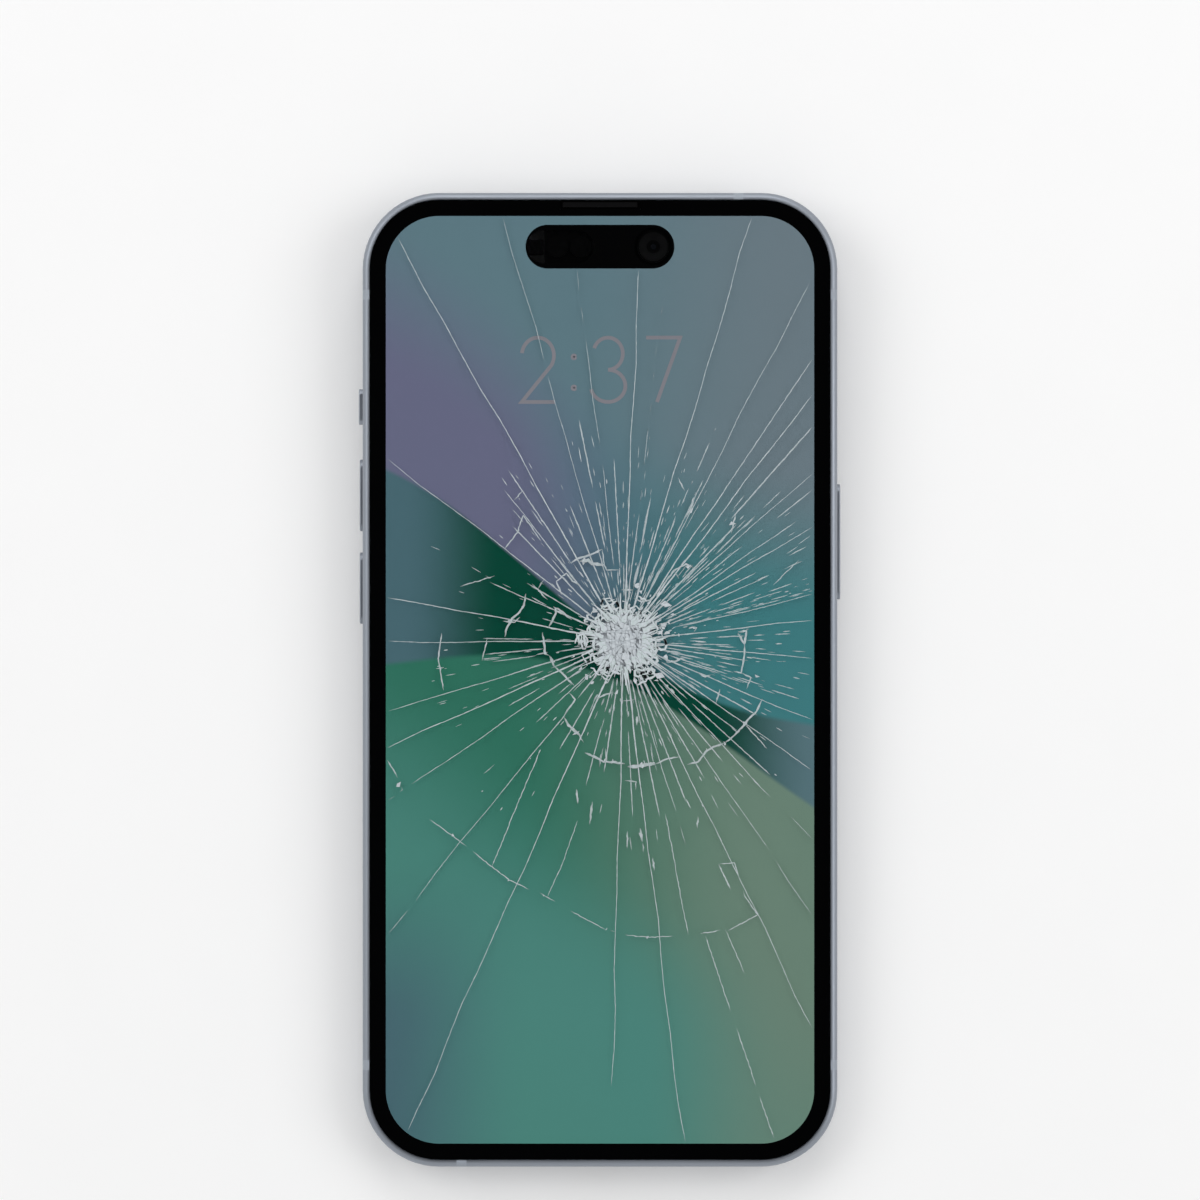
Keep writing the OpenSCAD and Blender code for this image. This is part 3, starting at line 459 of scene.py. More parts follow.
def ribbons(lines, height, lift):
    """Strips along lines, each line its points, widths and tones."""
    glass = bpy.context.scene.handset_glass
    paths = []
    for points, widths, tones in lines:
        last = len(points) - 1
        sides = []
        for k, width in enumerate(widths):
            ahead = points[min(k + 1, last)] - points[max(k - 1, 0)]
            sides.append(Vector((-ahead.y, ahead.x)).normalized() * width * MM / 2)
        paths.append((points, sides, tones))
    return strips(paths, Vector((glass.hit_x, glass.hit_y, height)), lift, MM)


def even_strips(strokes, width, height):
    """Strips of one width along strokes, with mitred corners."""
    paths = []
    for points in strokes:
        last = len(points) - 1
        sides = []
        for k, point in enumerate(points):
            into = (point - points[max(k - 1, 0)]).normalized()
            out = (points[min(k + 1, last)] - point).normalized()
            way = (into + out).normalized()
            lean = max(0.35, way.dot(out if k < last else into))
            sides.append(Vector((-way.y, way.x)) * width / 2 / lean)
        paths.append((points, sides, [1] * (last + 1)))
    return strips(paths, Vector((0, 0, height)), 0.0015 * MM, 1)


def lathe(profile, middle, up):
    """A skin spun from its radii and heights in millimetres, facing up or down."""
    bm = bmesh.new()
    verts, edges = chain(bm, [(middle.x + r * MM, middle.y, middle.z + z * MM) for r, z in profile])
    bmesh.ops.spin(
        bm, geom=verts + edges, cent=(middle.x, middle.y, 0), axis=(0, 0, 1), angle=math.tau,
        steps=64, use_merge=True, use_duplicate=False,
    )
    bmesh.ops.remove_doubles(bm, verts=bm.verts, dist=ON_PLANE)
    bmesh.ops.recalc_face_normals(bm, faces=bm.faces[:])
    if (sum(f.normal.z for f in bm.faces) > 0) != up:
        bmesh.ops.reverse_faces(bm, faces=bm.faces[:])
    return bm


def dome(foot, radius, middle, level, up, segments):
    """The part of a ball above or below a level, closed by a flat face. Its radius and the
    heights over the foot are in millimetres."""
    bm = bmesh.new()
    matrix = Matrix.Translation(foot + Vector((0, 0, middle * MM)))
    bmesh.ops.create_uvsphere(
        bm, u_segments=segments, v_segments=24, radius=radius * MM, matrix=matrix
    )
    cut(bm, (0, 0, foot.z + level * MM), (0, 0, -1 if up else 1), clear_outer=True)
    bmesh.ops.holes_fill(bm, edges=[e for e in bm.edges if e.is_boundary], sides=0)
    bmesh.ops.recalc_face_normals(bm, faces=bm.faces[:])
    return bm


# The crack web, in millimetres from the impact

# Main cracks, as in the CAD glass: direction in degrees, and how far each runs, where 0 runs
# to the screen's edge. The last number is how whole the crack looks.
MAIN_CRACKS = [
    (119.4, 0, 1.3), (105.9, 0, 0.62), (97.1, 0, 0.55), (87.7, 0, 1.1), (83.4, 0, 0.5),
    (73.1, 0, 1.1), (62.6, 0, 0.85), (56.3, 30, 1.2), (52.5, 0, 1.3), (41.8, 0, 0.75),
    (34.7, 28, 0.6), (31.4, 0, 0.8), (24.1, 0, 0.55), (13.9, 0, 0.55), (6.2, 0, 0.7),
    (-5.1, 0, 0.75), (-12.7, 18, 0.6), (-22.9, 0, 0.75), (-34.2, 0, 0.8), (-38.6, 22, 0.9),
    (-46.5, 0, 0.8), (-55.3, 0, 0.7), (-64, 0, 1.1), (-73.2, 32, 0.6), (-83.2, 0, 1.2),
    (-91.5, 67, 1.1), (-113.8, 0, 1.1), (-128.9, 0, 0.75), (-146, 0, 0.7), (-155.6, 0, 1.2),
    (-163.6, 0, 0.75), (-170.9, 20, 0.7), (-179.8, 0, 0.8), (169.6, 0, 1.2), (156, 22, 0.8),
    (142.3, 0, 0.8), (128.3, 29, 0.85),
]
# Cross cracks, chip edges and forks, each as its width and its points
CROSS_CRACKS = [
    (0.34, (-8, 11.7), (-6.9, 12.4), (-5.3, 12.9), (-3.2, 13.8)),
    (0.55, (-6.8, 11.9), (-5.3, 12.2), (-4.7, 11.6), (-2.9, 11.4)),
    (0.2, (-3.2, 13.8), (-2.9, 11.4), (-2.6, 10.7), (-0.4, 10.7)),
    (0.28, (-0.4, 7.7), (1.5, 7.7)), (0.3, (1.5, 6.4), (2.7, 5.9), (3.9, 6.1), (5.1, 7.2)),
    (0.3, (5.1, 7.2), (6.1, 8.6), (7.6, 10.6), (9.4, 11.6), (10.6, 11)),
    (0.24, (7.6, 10.6), (8.3, 9.4)), (0.26, (16.2, 16.2), (16.5, 17.6), (16.9, 19.2)),
    (0.3, (9.4, 18.6), (10.1, 19.8), (10.6, 21.4)),
    (0.36, (17.2, 1.4), (18.5, 1.5), (18.2, -0.5), (17.2, 1.2)),
    (0.3, (18.2, -0.5), (18.1, -2.6), (17.7, -4.8), (16.6, -4.6)),
    (0.22, (17.7, -4.8), (19.2, -5.5), (18.5, -7.2)), (0.24, (14.5, -7.2), (13.9, -9.4)),
    (0.3, (20.9, -8.7), (20, -10.6), (18.6, -12), (17.3, -13.6), (15.2, -15.4)),
    (0.32, (15.2, -15.4), (13.6, -15.9), (12.4, -16.6), (11.2, -18.2), (9.6, -18.6)),
    (0.2, (18.3, -12.6), (19.8, -14.2), (21.6, -16.2)),
    (0.6, (0.6, -18.9), (1.9, -18.9), (3.4, -18.6), (4.8, -18.5)),
    (0.28, (4.8, -18.5), (6.4, -17.8), (8.4, -17.4)),
    (0.36, (-5.9, -16.8), (-4.4, -17.4), (-3, -18.2), (-1.6, -18.2), (0.2, -18.5)),
    (0.3, (-2.6, -18.2), (-2.7, -16.2)),
    (0.42, (-8.9, -11.5), (-8.3, -12.7), (-7.3, -13.6), (-6.3, -14.4)),
    (0.2, (-6.9, -13.9), (-6, -15.3)), (0.24, (-8.2, -7.8), (-7.3, -8.8), (-9, -11.2)),
    (0.46, (-11.2, -2.2), (-10.8, -2.9), (-10.4, -3.9)),
    (0.32, (-10.4, -3.9), (-9.2, -4.9), (-8.4, -5.8), (-7.4, -6.7)),
    (0.34, (-12.2, 1.3), (-12, -0.3), (-11.8, -1.9), (-11.2, -2.2)),
    (0.34, (-14.7, 7.1), (-15, 5.4), (-15.9, 4.1), (-16.8, 3.4), (-17.6, 1.9), (-17.9, 0.6)),
    (0.24, (-18.2, 3), (-16.4, 2.8), (-15.6, 3.6)),
    (0.34, (-8.6, 3.9), (-10.1, 4.5), (-10.6, 3.4), (-11.3, 2)),
    (0.3, (-10.6, 5.2), (-9.2, 4.4), (-7.8, 3.2)),
    (0.22, (-13.8, 8.6), (-12.9, 7.8), (-12.2, 6.9), (-11.4, 6.2)),
    (0.24, (-12.9, 7.8), (-12, 9.2)),
    (0.24, (-9.3, 6.9), (-10.1, 9), (-8.6, 10.2), (-7.7, 9), (-6.6, 8.4)),
    (0.2, (-18, 13.8), (-16, 16.3), (-15.1, 18.9), (-12.4, 15)),
    (0.18, (-16.5, 21.2), (-15.1, 22.7)), (0.22, (-20.5, 0.4), (-20.9, -1.4), (-21.3, -3)),
    (0.22, (-27.4, 1.2), (-27.9, -2.6), (-27.1, -7.4)),
    (0.3, (-4.1, -8.7), (-2.6, -8), (-1.5, -7.8)), (0.2, (-0.3, -9), (1.7, -8.8)),
    (0.3, (6.4, -3.2), (8, -3), (8.7, -2.6), (9.4, -2.9)),
    (0.26, (11.2, -4.8), (12.3, -5.4), (13.2, -5.1)),
    (0.2, (0.2, -21), (1.9, -21.2), (1.8, -22.4)), (0.24, (10.2, 2.2), (11, 2), (10.6, 1.4)),
    (0.15, (-29.2, -26.9), (-25.6, -29.4), (-21.7, -32.5), (-17.2, -36), (-14.2, -37.4)),
    (0.14, (-12.6, -37.9), (-9.6, -39.6), (-6.2, -41.6), (-2.7, -43.5)),
    (0.15, (-2, -43.6), (0.6, -44.3), (3.9, -44.6), (7.4, -44.4)),
    (0.16, (9.6, -44.2), (13.4, -43.8), (16.7, -42.8)),
    (0.22, (-35.6, -17.9), (-34.2, -20.2), (-33.3, -22.4), (-35.3, -23.9)),
    (0.16, (14.3, -33.6), (16.7, -33.4), (18.3, -38.5), (20.2, -41.2), (15.7, -43.6)),
    (0.22, (14.3, -33.6), (16.1, -37.4)), (0.14, (12.3, -44.4), (17.5, -59.8), (22.6, -74.8)),
    (0.14, (6.3, -26), (9.7, -44.2)), (0.14, (15.3, -43.4), (18.2, -50)),
    (0.14, (-12.6, -16.6), (-16.6, -26), (-19.8, -34)),
    (0.12, (-6.9, -27), (-9.2, -33.5), (-11.5, -38.6)), (0.34, (-7.1, -22.3), (-6.9, -24.5)),
    (0.34, (-4.7, -24.2), (-5.1, -27.6)), (0.5, (2.5, -28.2), (2.8, -30.2)),
    (0.24, (2.9, -30.4), (3, -31.8)), (0.3, (4.4, -32.6), (4.6, -34.6)),
    (0.26, (0.6, -28.6), (0.5, -31.2)), (0.3, (11.2, -26.4), (11.1, -28.2)),
    (0.16, (-19.4, 9.8), (-24.6, 8.2)), (0.16, (22.5, 8.4), (26.4, 12.2)),
    (0.2, (8.2, 24.6), (9.2, 22.6)),
]
# Finer cracks beside them: direction, first and last radius, width, and how whole each looks
FINE_CRACKS = [
    (48.6, 24.4, 0, 0.2, 1.3), (56.2, 29, 0, 0.15, 1.2), (45.9, 6, 24.4, 0.24, 1),
    (38.7, 9, 0, 0.15, 0.5), (34.7, 27, 0, 0.16, 0.6), (27.3, 7, 0, 0.17, 0.55),
    (43.6, 20, 0, 0.13, 0.4), (20.3, 7, 24, 0.16, 0.6), (66.9, 7, 25, 0.16, 0.5),
    (79.3, 8, 22, 0.2, 0.7), (93, 8, 30, 0.17, 0.5), (101.4, 14, 34, 0.2, 0.7),
    (111.5, 8, 22, 0.2, 0.9), (124, 14, 31, 0.2, 1.1), (134, 7, 24, 0.2, 1),
    (149, 7, 17, 0.2, 0.8), (-174.5, 12, 21, 0.18, 0.7), (-150.6, 6, 20, 0.16, 0.6),
    (-137, 7, 18, 0.16, 0.6), (-120.6, 6, 19, 0.17, 0.7), (-104.6, 6, 26, 0.16, 0.6),
    (-98.5, 7, 20, 0.2, 0.8), (-87, 8, 30, 0.16, 0.5), (-78.4, 6, 27, 0.2, 0.9),
    (-68.8, 6, 26, 0.2, 0.8), (-59.5, 8, 24, 0.18, 0.8), (-50.6, 8, 28, 0.17, 0.7),
    (-42.4, 8, 30, 0.17, 0.7), (-29, 7, 23, 0.2, 0.9), (-17.6, 7, 22, 0.17, 0.7),
    (-9, 6, 19, 0.16, 0.7),
]
# Loose chips: distance across and up, size, and how many corners each has
CHIPS = [
    (6.1, 5.5, 0.95, 4), (7.5, 4, 0.6, 3), (4.9, 2.4, 0.8, 4), (5.4, 1.2, 0.55, 5),
    (9.6, 11.3, 0.7, 3), (16.4, 17.7, 0.55, 3), (10.1, 19.7, 0.4, 3), (20.1, -5.2, 0.5, 4),
    (18.1, -12.5, 0.75, 4), (15.3, -15.5, 0.5, 3), (12.5, -16.5, 0.6, 3), (2.8, -18.7, 0.55, 5),
    (4.5, -18.4, 0.45, 4), (-2.8, -18, 0.6, 4), (-1.7, -18.2, 0.4, 3), (-7.2, -13.8, 0.55, 4),
    (-10.6, -3.2, 0.5, 4), (-17.2, 2.9, 0.55, 4), (-16.6, 3.6, 0.4, 3), (-10.3, 4.6, 0.6, 3),
    (-6.9, 8.4, 0.5, 3), (-6, 12.1, 0.6, 5), (-3.2, 11.5, 0.45, 3), (-5.9, 0, 0.65, 4),
    (1.7, -5.9, 0.6, 4), (5.4, -5.3, 0.65, 4), (4.2, -5.6, 0.4, 3), (-5, -5.4, 0.5, 3),
    (-4.4, 4.6, 0.6, 4), (-1.6, 5.4, 0.5, 3), (12.7, -5.2, 0.35, 3), (10.6, 1.9, 0.35, 3),
    (-12.7, 7.6, 0.3, 3), (-25.7, -29.3, 0.35, 3), (-17.3, -36, 0.4, 3), (-12, -38.3, 0.35, 3),
    (3.6, -44.6, 0.35, 4), (-2.6, -43.4, 0.25, 3), (-33.9, -21.6, 0.55, 4), (2.6, -29.2, 0.45, 4),
    (20.2, -41.1, 0.25, 3), (3, 6.1, 0.45, 3), (6.6, -6.6, 0.4, 3), (-9.2, -4.9, 0.35, 3),
    (-15.3, 5.2, 0.4, 3),
]
START, SPACING = 3.4, 6  # where the main cracks start, and how far apart their bends are
SHARD_CUTS, SMALL_CHIPS = 48, 90
CELLS, ARCS, SPOKES, SPLINTERS = 20, 34, 44, 40


def wander(i, k):
    """A repeatable wander between -1 and 1 for step k of crack i, as in the CAD glass."""
    return sin(radians(i * 137.5 + k * 83.7)) * cos(radians(i * 61.3 - k * 29.9))


def polar(radius, angle):
    return Vector((cos(radians(angle)), sin(radians(angle)))) * radius


class Plate:
    """The lit screen's outline, in millimetres from the impact, which the cracks stop at."""

    def __init__(self, screen, glass):
        self.hit = Vector((glass.hit_x, glass.hit_y)) / MM
        self.half = Vector((GLASS_HIGH.x - screen.border, GLASS_HIGH.y - screen.border)) / MM
        self.corner = (screen.glass_corner - screen.border) / MM
        self.pill = Vector((screen.island_length, screen.island_height)) / 2 / MM

    def room(self, point):
        """How far inside the outline and outside the island a point is."""
        x, y = point + self.hit
        dx = max(0, abs(x) - self.pill.x + self.pill.y)
        outside = hypot(dx, y - ISLAND.y / MM) - self.pill.y
        dx, dy = abs(x) - self.half.x + self.corner, abs(y) - self.half.y + self.corner
        if dx > 0 and dy > 0:
            return min(outside, self.corner - hypot(dx, dy))
        return min(outside, self.half.x - abs(x), self.half.y - abs(y))

    def reach(self, angle):
        """Distance from the impact to just short of the straight edges."""
        ways = cos(radians(angle)), sin(radians(angle))
        return min(
            (half - 0.3 - hit * math.copysign(1, way)) / max(abs(way), 0.001)
            for way, half, hit in zip(ways, self.half, self.hit)
        )


def finer(points, step, jitter, chance):
    """The same line in short steps that stray a little."""
    made = [points[0]]
    for first, last in zip(points, points[1:]):
        parts = max(1, round((last - first).length / step))
        side = Vector((first.y - last.y, last.x - first.x)).normalized()
        for k in range(1, parts + 1):
            stray = 0 if k == parts else chance.uniform(-jitter, jitter)
            made.append(first.lerp(last, k / parts) + side * stray)
    return made


def broken(points, width, whole, chance, plate, bright):
    """Cuts a line into the dashes that catch the light, each tapering at its ends. Width is a
    function of the distance from the impact."""
    runs, run = [], []
    lit = chance.random() < whole + 0.3
    left = chance.uniform(1, 4)
    for point in points:
        left -= 1
        if left <= 0:
            far = min(1, point.length / 60)
            lit = chance.random() < whole + 0.28 - 0.25 * far
            left = chance.uniform(3, 14) * (whole if lit else 0.3)
        lit = lit and plate.room(point) > 0.05
        if lit:
            run.append(point)
        if not lit or point is points[-1]:
            if len(run) > 2:
                runs.append(run)
            run = []
    shaped = []
    for run in runs:
        ends = [min(k, len(run) - 1 - k) for k in range(len(run))]
        widths = [
            width(point.length) * chance.uniform(0.75, 1.25) * min(1, 0.3 + 0.35 * end)
            for point, end in zip(run, ends)
        ]
        tones = [bright * chance.uniform(0.75, 1) * min(1, 0.5 + 0.25 * end) for end in ends]
        shaped.append((run, widths, tones))
    return shaped


def main_lines(plate, chance, crack):
    """The long cracks that run out from the pit."""
    lines = []
    for i, (angle, reach, whole) in enumerate(MAIN_CRACKS):
        run = (reach or plate.reach(angle)) - START
        steps = math.ceil(run / SPACING)
        side = Vector((-sin(radians(angle)), cos(radians(angle))))
        path = []
        for k in range(steps + 1):
            radius = START + run * k / steps
            sway = 0.12 * wander(i, k) * math.sqrt(radius / 10) if k else 0
            path.append(polar(radius, angle) + side * sway)

        def width(r, whole=whole):
            return crack * (0.28 + 0.94 * math.exp(-r / 12)) * (0.65 + 0.45 * whole)

        path = finer(path, 0.6, 0.025, chance)
        lines += broken(path, width, whole, chance, plate, 0.65 + 0.35 * whole)
    return lines


def fine_lines(plate, chance):
    """The fine cracks that lie between the long ones."""
    lines = []
    for angle, start, end, size, whole in FINE_CRACKS:
        path = [polar(start, angle), polar(end or plate.reach(angle), angle)]
        path = finer(path, 0.5, 0.03, chance)
        lines += broken(path, lambda r, w=size: w, whole, chance, plate, 0.9)
    return lines


def cross_lines(plate, chance):
    """The cracks that run across the long ones."""
    lines = []
    for width, *points in CROSS_CRACKS:
        path = finer([Vector(p) for p in points], 0.4, 0.06, chance)
        whole = 0.7 if path[0].length > 33 else 1.2
        lines += broken(path, lambda r, w=width: w, whole, chance, plate, 0.95)
    return lines


def faint_rays(plate, chance, number):
    """Fine dotted cracks that point away from the pit, between the main ones."""
    lines = []
    for _ in range(number):
        upper = chance.random() < 0.66
        angle = chance.uniform(-30, 130) if upper else chance.uniform(130, 330)
        start = 5 + 7 * chance.random()
        end = start + (chance.uniform(6, 26) if upper else chance.uniform(4, 14))
        ends = [polar(start, angle), polar(end, angle + chance.uniform(-1, 1))]
        size = chance.uniform(0.09, 0.2)
        path = finer(ends, 0.35, 0.02, chance)
        lines += broken(path, lambda r, w=size: w, chance.uniform(0.1, 0.5), chance, plate, 0.8)
    return lines


def dash_lines(plate, chance, number):
    """Specks and short broken cracks, thickest near the pit, that point away from it."""
    lines = []
    while len(lines) < number:
        upper = chance.random() < 0.6
        angle = chance.uniform(-40, 125) if upper else chance.uniform(125, 320)
        start = 5 + 26 * chance.random() ** 1.5
        long = chance.uniform(0.25, 1.3) + 1.8 * chance.random() ** 4
        first = polar(start, angle)
        last = first + polar(long, angle + chance.uniform(-6, 6))
        if plate.room(last) < 0.4:
            continue
        path = [first.lerp(last, k / 3) for k in range(4)]
        size = chance.uniform(0.1, 0.26) * (1.15 if start < 14 else 0.8)
        widths = [size * w for w in (0.3, 1, 0.85, 0.2)]
        lines.append((path, widths, [chance.uniform(0.5, 1)] * 4))
    return lines


def swept(roll, start, end, angle, lean, steps, stray=(0, 0)):
    """A path from one radius to another that turns a little round the impact. Its points can
    stray in radius and in angle."""
    path = []
    for k in range(steps + 1):
        outward, turned = (roll(-most, most) if most else 0 for most in stray)
        radius = start + (end - start) * k / steps + outward
        path.append(polar(radius, angle + lean * k / steps + turned))
    return path


def cell_lines(chance):
    """Cells of crushed glass round the pit: closed cells, short arcs, spokes and splinters."""
    lines = []
    roll = chance.uniform
    for _ in range(CELLS):
        middle = polar(roll(4.6, 6.3), roll(0, 360))
        size, turn = roll(0.45, 0.95), roll(0, 360)
        path = [
            middle + polar(size * roll(0.75, 1.25), turn + 60 * k + roll(-14, 14)) for k in range(6)
        ]
        thick = roll(0.2, 0.42)
        widths = [thick * roll(0.6, 1.3) for _ in path]
        lines.append((path + path[:2], widths + widths[:2], roll(0.9, 1)))
    for _ in range(ARCS):
        angle, radius = roll(0, 360), 4.2 + 3 * chance.random() ** 1.7
        path = swept(roll, radius, radius, angle, roll(8, 26) * 5 / radius, 5, (0.2, 0))
        size = roll(0.2, 0.6) * (1.2 if radius < 5.2 else 0.8)
        widths = [size * (1 - 0.6 * abs(2 * k / 5 - 1)) for k in range(6)]
        lines.append((path, widths, roll(0.85, 1)))
    for _ in range(SPOKES):
        angle, start = roll(0, 360), 3.6 + 1.2 * chance.random()
        path = swept(roll, start, start + roll(0.8, 3.4), angle, roll(-7, 7), 4)
        size = roll(0.25, 0.65)
        lines.append((path, [size * (1 - 0.2 * k) for k in range(5)], roll(0.85, 1)))
    for _ in range(SPLINTERS):
        angle, lean = roll(0, 360), roll(-14, 14)
        start, end = roll(2.6, 3.4), 4 + 1.4 * chance.random() ** 1.4
        path = swept(roll, start, end, angle, lean, 5, (0, 2))
        size = roll(0.5, 1.1)
        widths = [size * w * roll(0.7, 1.2) for w in (0.9, 1, 0.9, 0.65, 0.35, 0.06)]
        lines.append((path, widths, roll(0.9, 1)))
    return [(path, widths, [bright] * len(path)) for path, widths, bright in lines]


def shard_field(chance, radius):
    """A disc cut by many random lines into shards, each turned and lifted a little."""
    bm = bmesh.new()
    disc(bm, radius, 40, uneven=0.13)
    for _ in range(SHARD_CUTS):
        angle = chance.uniform(0, math.pi)
        offset = chance.uniform(-1, 1) * radius
        normal = Vector((cos(angle), sin(angle), 0))
        cut(bm, normal * offset, normal)
    bmesh.ops.split_edges(bm, edges=bm.edges[:])
    shade = bm.verts.layers.float.new("tone")
    lost = []
    for shard in bm.faces[:]:
        middle = shard.calc_center_median()
        far = middle.length / radius
        if chance.random() < 0.7 * far**4 + 0.02 or shard.calc_area() < 1e-9:
            lost.append(shard)
            continue
        tilt = 0.15 * (0.4 + far)
        turn = Euler((chance.gauss(0, tilt), chance.gauss(0, tilt), chance.uniform(-0.2, 0.2)))
        space = Matrix.Translation(-middle)
        bmesh.ops.scale(bm, vec=(0.96, 0.96, 1), space=space, verts=shard.verts)
        bmesh.ops.rotate(bm, cent=middle, matrix=turn.to_matrix(), verts=shard.verts)
        lift = chance.uniform(-0.1, 0.03) - 0.1 * far
        bmesh.ops.translate(bm, vec=(0, 0, lift * MM), verts=shard.verts)
        bright = chance.uniform(0.65, 1) * (1 - 0.25 * max(0, far - 0.6))
        for vert in shard.verts:
            vert[shade] = bright
    bmesh.ops.delete(bm, geom=lost, context="FACES")
    return bm


def add_chip(bm, shade, chance, where, spot, size, sides):
    """A loose chip lying roughly level, its long side roughly away from the impact."""
    turn = Matrix.Rotation(math.atan2(spot.y, spot.x) + chance.uniform(-0.7, 0.7), 4, "Z")
    lean = Euler((chance.gauss(0, 0.12), chance.gauss(0, 0.12), 0)).to_matrix().to_4x4()
    long, wide = size * chance.uniform(0.8, 1.4), size * chance.uniform(0.4, 0.9)
    place = Matrix.Translation(where + Vector((spot.x, spot.y, 0.03)) * MM)
    made = disc(bm, MM * 0.75, sides, place @ turn @ lean @ Matrix.Diagonal((long, wide, 1, 1)))
    bright = chance.uniform(0.6, 1)
    for vert in made:
        stray = Vector((chance.uniform(-1, 1), chance.uniform(-1, 1), 0))
        vert.co += stray * size * 0.35 * MM
        vert[shade] = bright


# Screen


def arc(x, y, rx, ry, first, last, steps=22):
    """Points along part of an ellipse, from one angle to another."""
    angles = (radians(first + (last - first) * k / steps) for k in range(steps + 1))
    return [Vector((x + rx * cos(a), y + ry * sin(a))) for a in angles]


def digit_strokes():
    """The clock's marks, each its place in the row and its strokes, in cells one unit high."""
    foot = [Vector((0.02, 0)), Vector((0.54, 0))]
    return (
        (0, (arc(0.27, 0.72, 0.25, 0.28, 172, -32) + foot,)),
        (0.83, [arc(0, y, 0.022, 0.022, 0, 360, 8) for y in (0.22, 0.7)]),
        (1.09, (arc(0.27, 0.75, 0.23, 0.25, 160, -90), arc(0.27, 0.25, 0.27, 0.25, 90, -168))),
        (1.95, ([Vector((0, 1)), Vector((0.53, 1)), Vector((0.17, 0))],)),
    )


def screen_finish(screen, plate):
    """The lit screen: broad waves of colour, black outside the lit part and in the island."""
    finish = Finish("lit_screen")
    x, y, _ = finish.place()
    drift = finish.noise(18, 2)
    lean = y + x * 0.52 + (x * 0.075 + 0.7).wave() * 5 + drift * 4
    fall = y + x * 0.3 + (x * 0.06 - 1.4).wave() * 7

    def pair(left, right, start, end, most=1.0):
        return finish.blend(left, right, x.rise(start, end, 0.0, most))

    second = pair(screen.violet, screen.teal, -16, 18)
    middle = pair(pair(screen.dusk, screen.deep, -30, -15), screen.slate, 17, 33, 0.85)
    low_lean = lean.rise(-14, -46, 0, 0.85) * x.rise(30, 4)
    fourth = finish.blend(pair(screen.leaf, screen.sage, -14, 26), screen.lagoon, low_lean)
    lower = pair(pair(screen.dusk, screen.lagoon, -34, -10), screen.sage, 6, 28, 0.8)
    shown = pair(screen.slate, screen.grey, -6, 30)
    for field, edge in (
        (second, lean.rise(52, 26)),
        (middle, lean.rise(12.6, 11.6)),
        (fourth, fall.rise(-5.5, -6.5)),
        (lower, fall.rise(-34, -62)),
    ):
        shown = finish.blend(shown, field, edge)
    half, corner, pill = plate.half, plate.corner, plate.pill
    edge = (abs(x) - (half.x - corner)).most(0).across((abs(y) - (half.y - corner)).most(0))
    island = (abs(x) - (pill.x - pill.y)).most(0).across(y - ISLAND.y / MM)
    lit = edge.rise(corner, corner - 0.04) * island.rise(pill.y, pill.y + 0.05)
    smear = finish.noise(60, 4, 0.6, (1, 2.2, 1))
    return finish.surface(
        BLACK, shown, lit, smear.rise(0.35, 0.7, 0.32, 0.5), specular_ior_level=0.0,
        coat_weight=0.5, coat_roughness=0.03,
    )


# Operators


class HANDSET_OT_band(bpy.types.Operator):
    """Finishes the metal band, its plastic breaks and the two end screws"""

    bl_idname = "handset.band"
    bl_label = "Band"

    def execute(self, context):
        body = context.scene.handset_body
        dress(band_finish(body.metal), "frame")
        dress(plain_finish("break_plastic", body.breaks, 0.42, grain=1500), "antenna_breaks")
        dress(plain_finish("screw_steel", tone(132, 138, 148), 0.34, 1, 2500), "end_screws")
        return {"FINISHED"}


def band_finish(rgb):
    """Anodised aluminium, finely blasted, with a few scuffs rubbed brighter."""
    finish = Finish("anodised_metal")
    blast = finish.noise(9000, 2)
    cloud = finish.noise(55, 3)
    scuff = finish.noise(420, 5, 0.7, (1, 1, 5)).rise(0.63, 0.72)
    hairs = finish.noise(1500, 2, 0.5, (0.12, 1, 2)).rise(0.55, 0.75)
    dull = finish.blend(scaled(rgb, 0.9), rgb, cloud)
    return finish.surface(
        dull, scaled(rgb, 1.18), scuff * 0.6 + hairs * 0.12,
        cloud.rise(0.3, 0.7, 0.36, 0.46) + scuff * 0.1 - hairs * 0.03, metallic=0.85,
        normal=finish.bump(blast + scuff * -2, 0.000004),
    )


class HANDSET_OT_keys(bpy.types.Operator):
    """Rounds the outer edges of the keys and the ring switch, and finishes the card tray"""

    bl_idname = "handset.keys"
    bl_label = "Keys and tray"

    def execute(self, context):
        body = context.scene.handset_body
        finish = Finish("key_metal")
        hairs = finish.noise(2600, 2, 0.5, (1, 0.1, 1))
        rub = finish.noise(700, 4, 0.6).rise(0.6, 0.74)
        metal = finish.surface(
            body.metal, scaled(body.metal, 1.15), rub * 0.7 + hairs * 0.2,
            hairs.rise(0.2, 0.8, 0.34, 0.44), metallic=0.85, normal=finish.bump(hairs, 0.000002),
        )
        outer = BAND_HIGH.x - 0.3 * MM
        for node, owner in (
            ("volume_up_key", "volume_up"),
            ("volume_down_key", "volume_down"),
            ("side_key", "side"),
            ("ring_switch", "switch"),
        ):
            name = node.replace("_key", "") + "_cap"
            rounded_piece(
                name, node, body.edge, lambda p: abs(p.x) > outer, metal, owner
            )
        dress(metal, "card_tray")
        dress(plain_finish("card_plastic", tone(228, 228, 224), 0.4), "subscriber_card")
        return {"FINISHED"}


class HANDSET_OT_screen(bpy.types.Operator):
    """Lights the display: broad waves of colour, a plain clock and the black border"""

    bl_idname = "handset.screen"
    bl_label = "Lit screen"

    def execute(self, context):
        screen = context.scene.handset_screen
        plate = Plate(screen, context.scene.handset_glass)
        dress(screen_finish(screen, plate), "display_panel")
        add_clock(screen)
        add_border(screen)
        return {"FINISHED"}


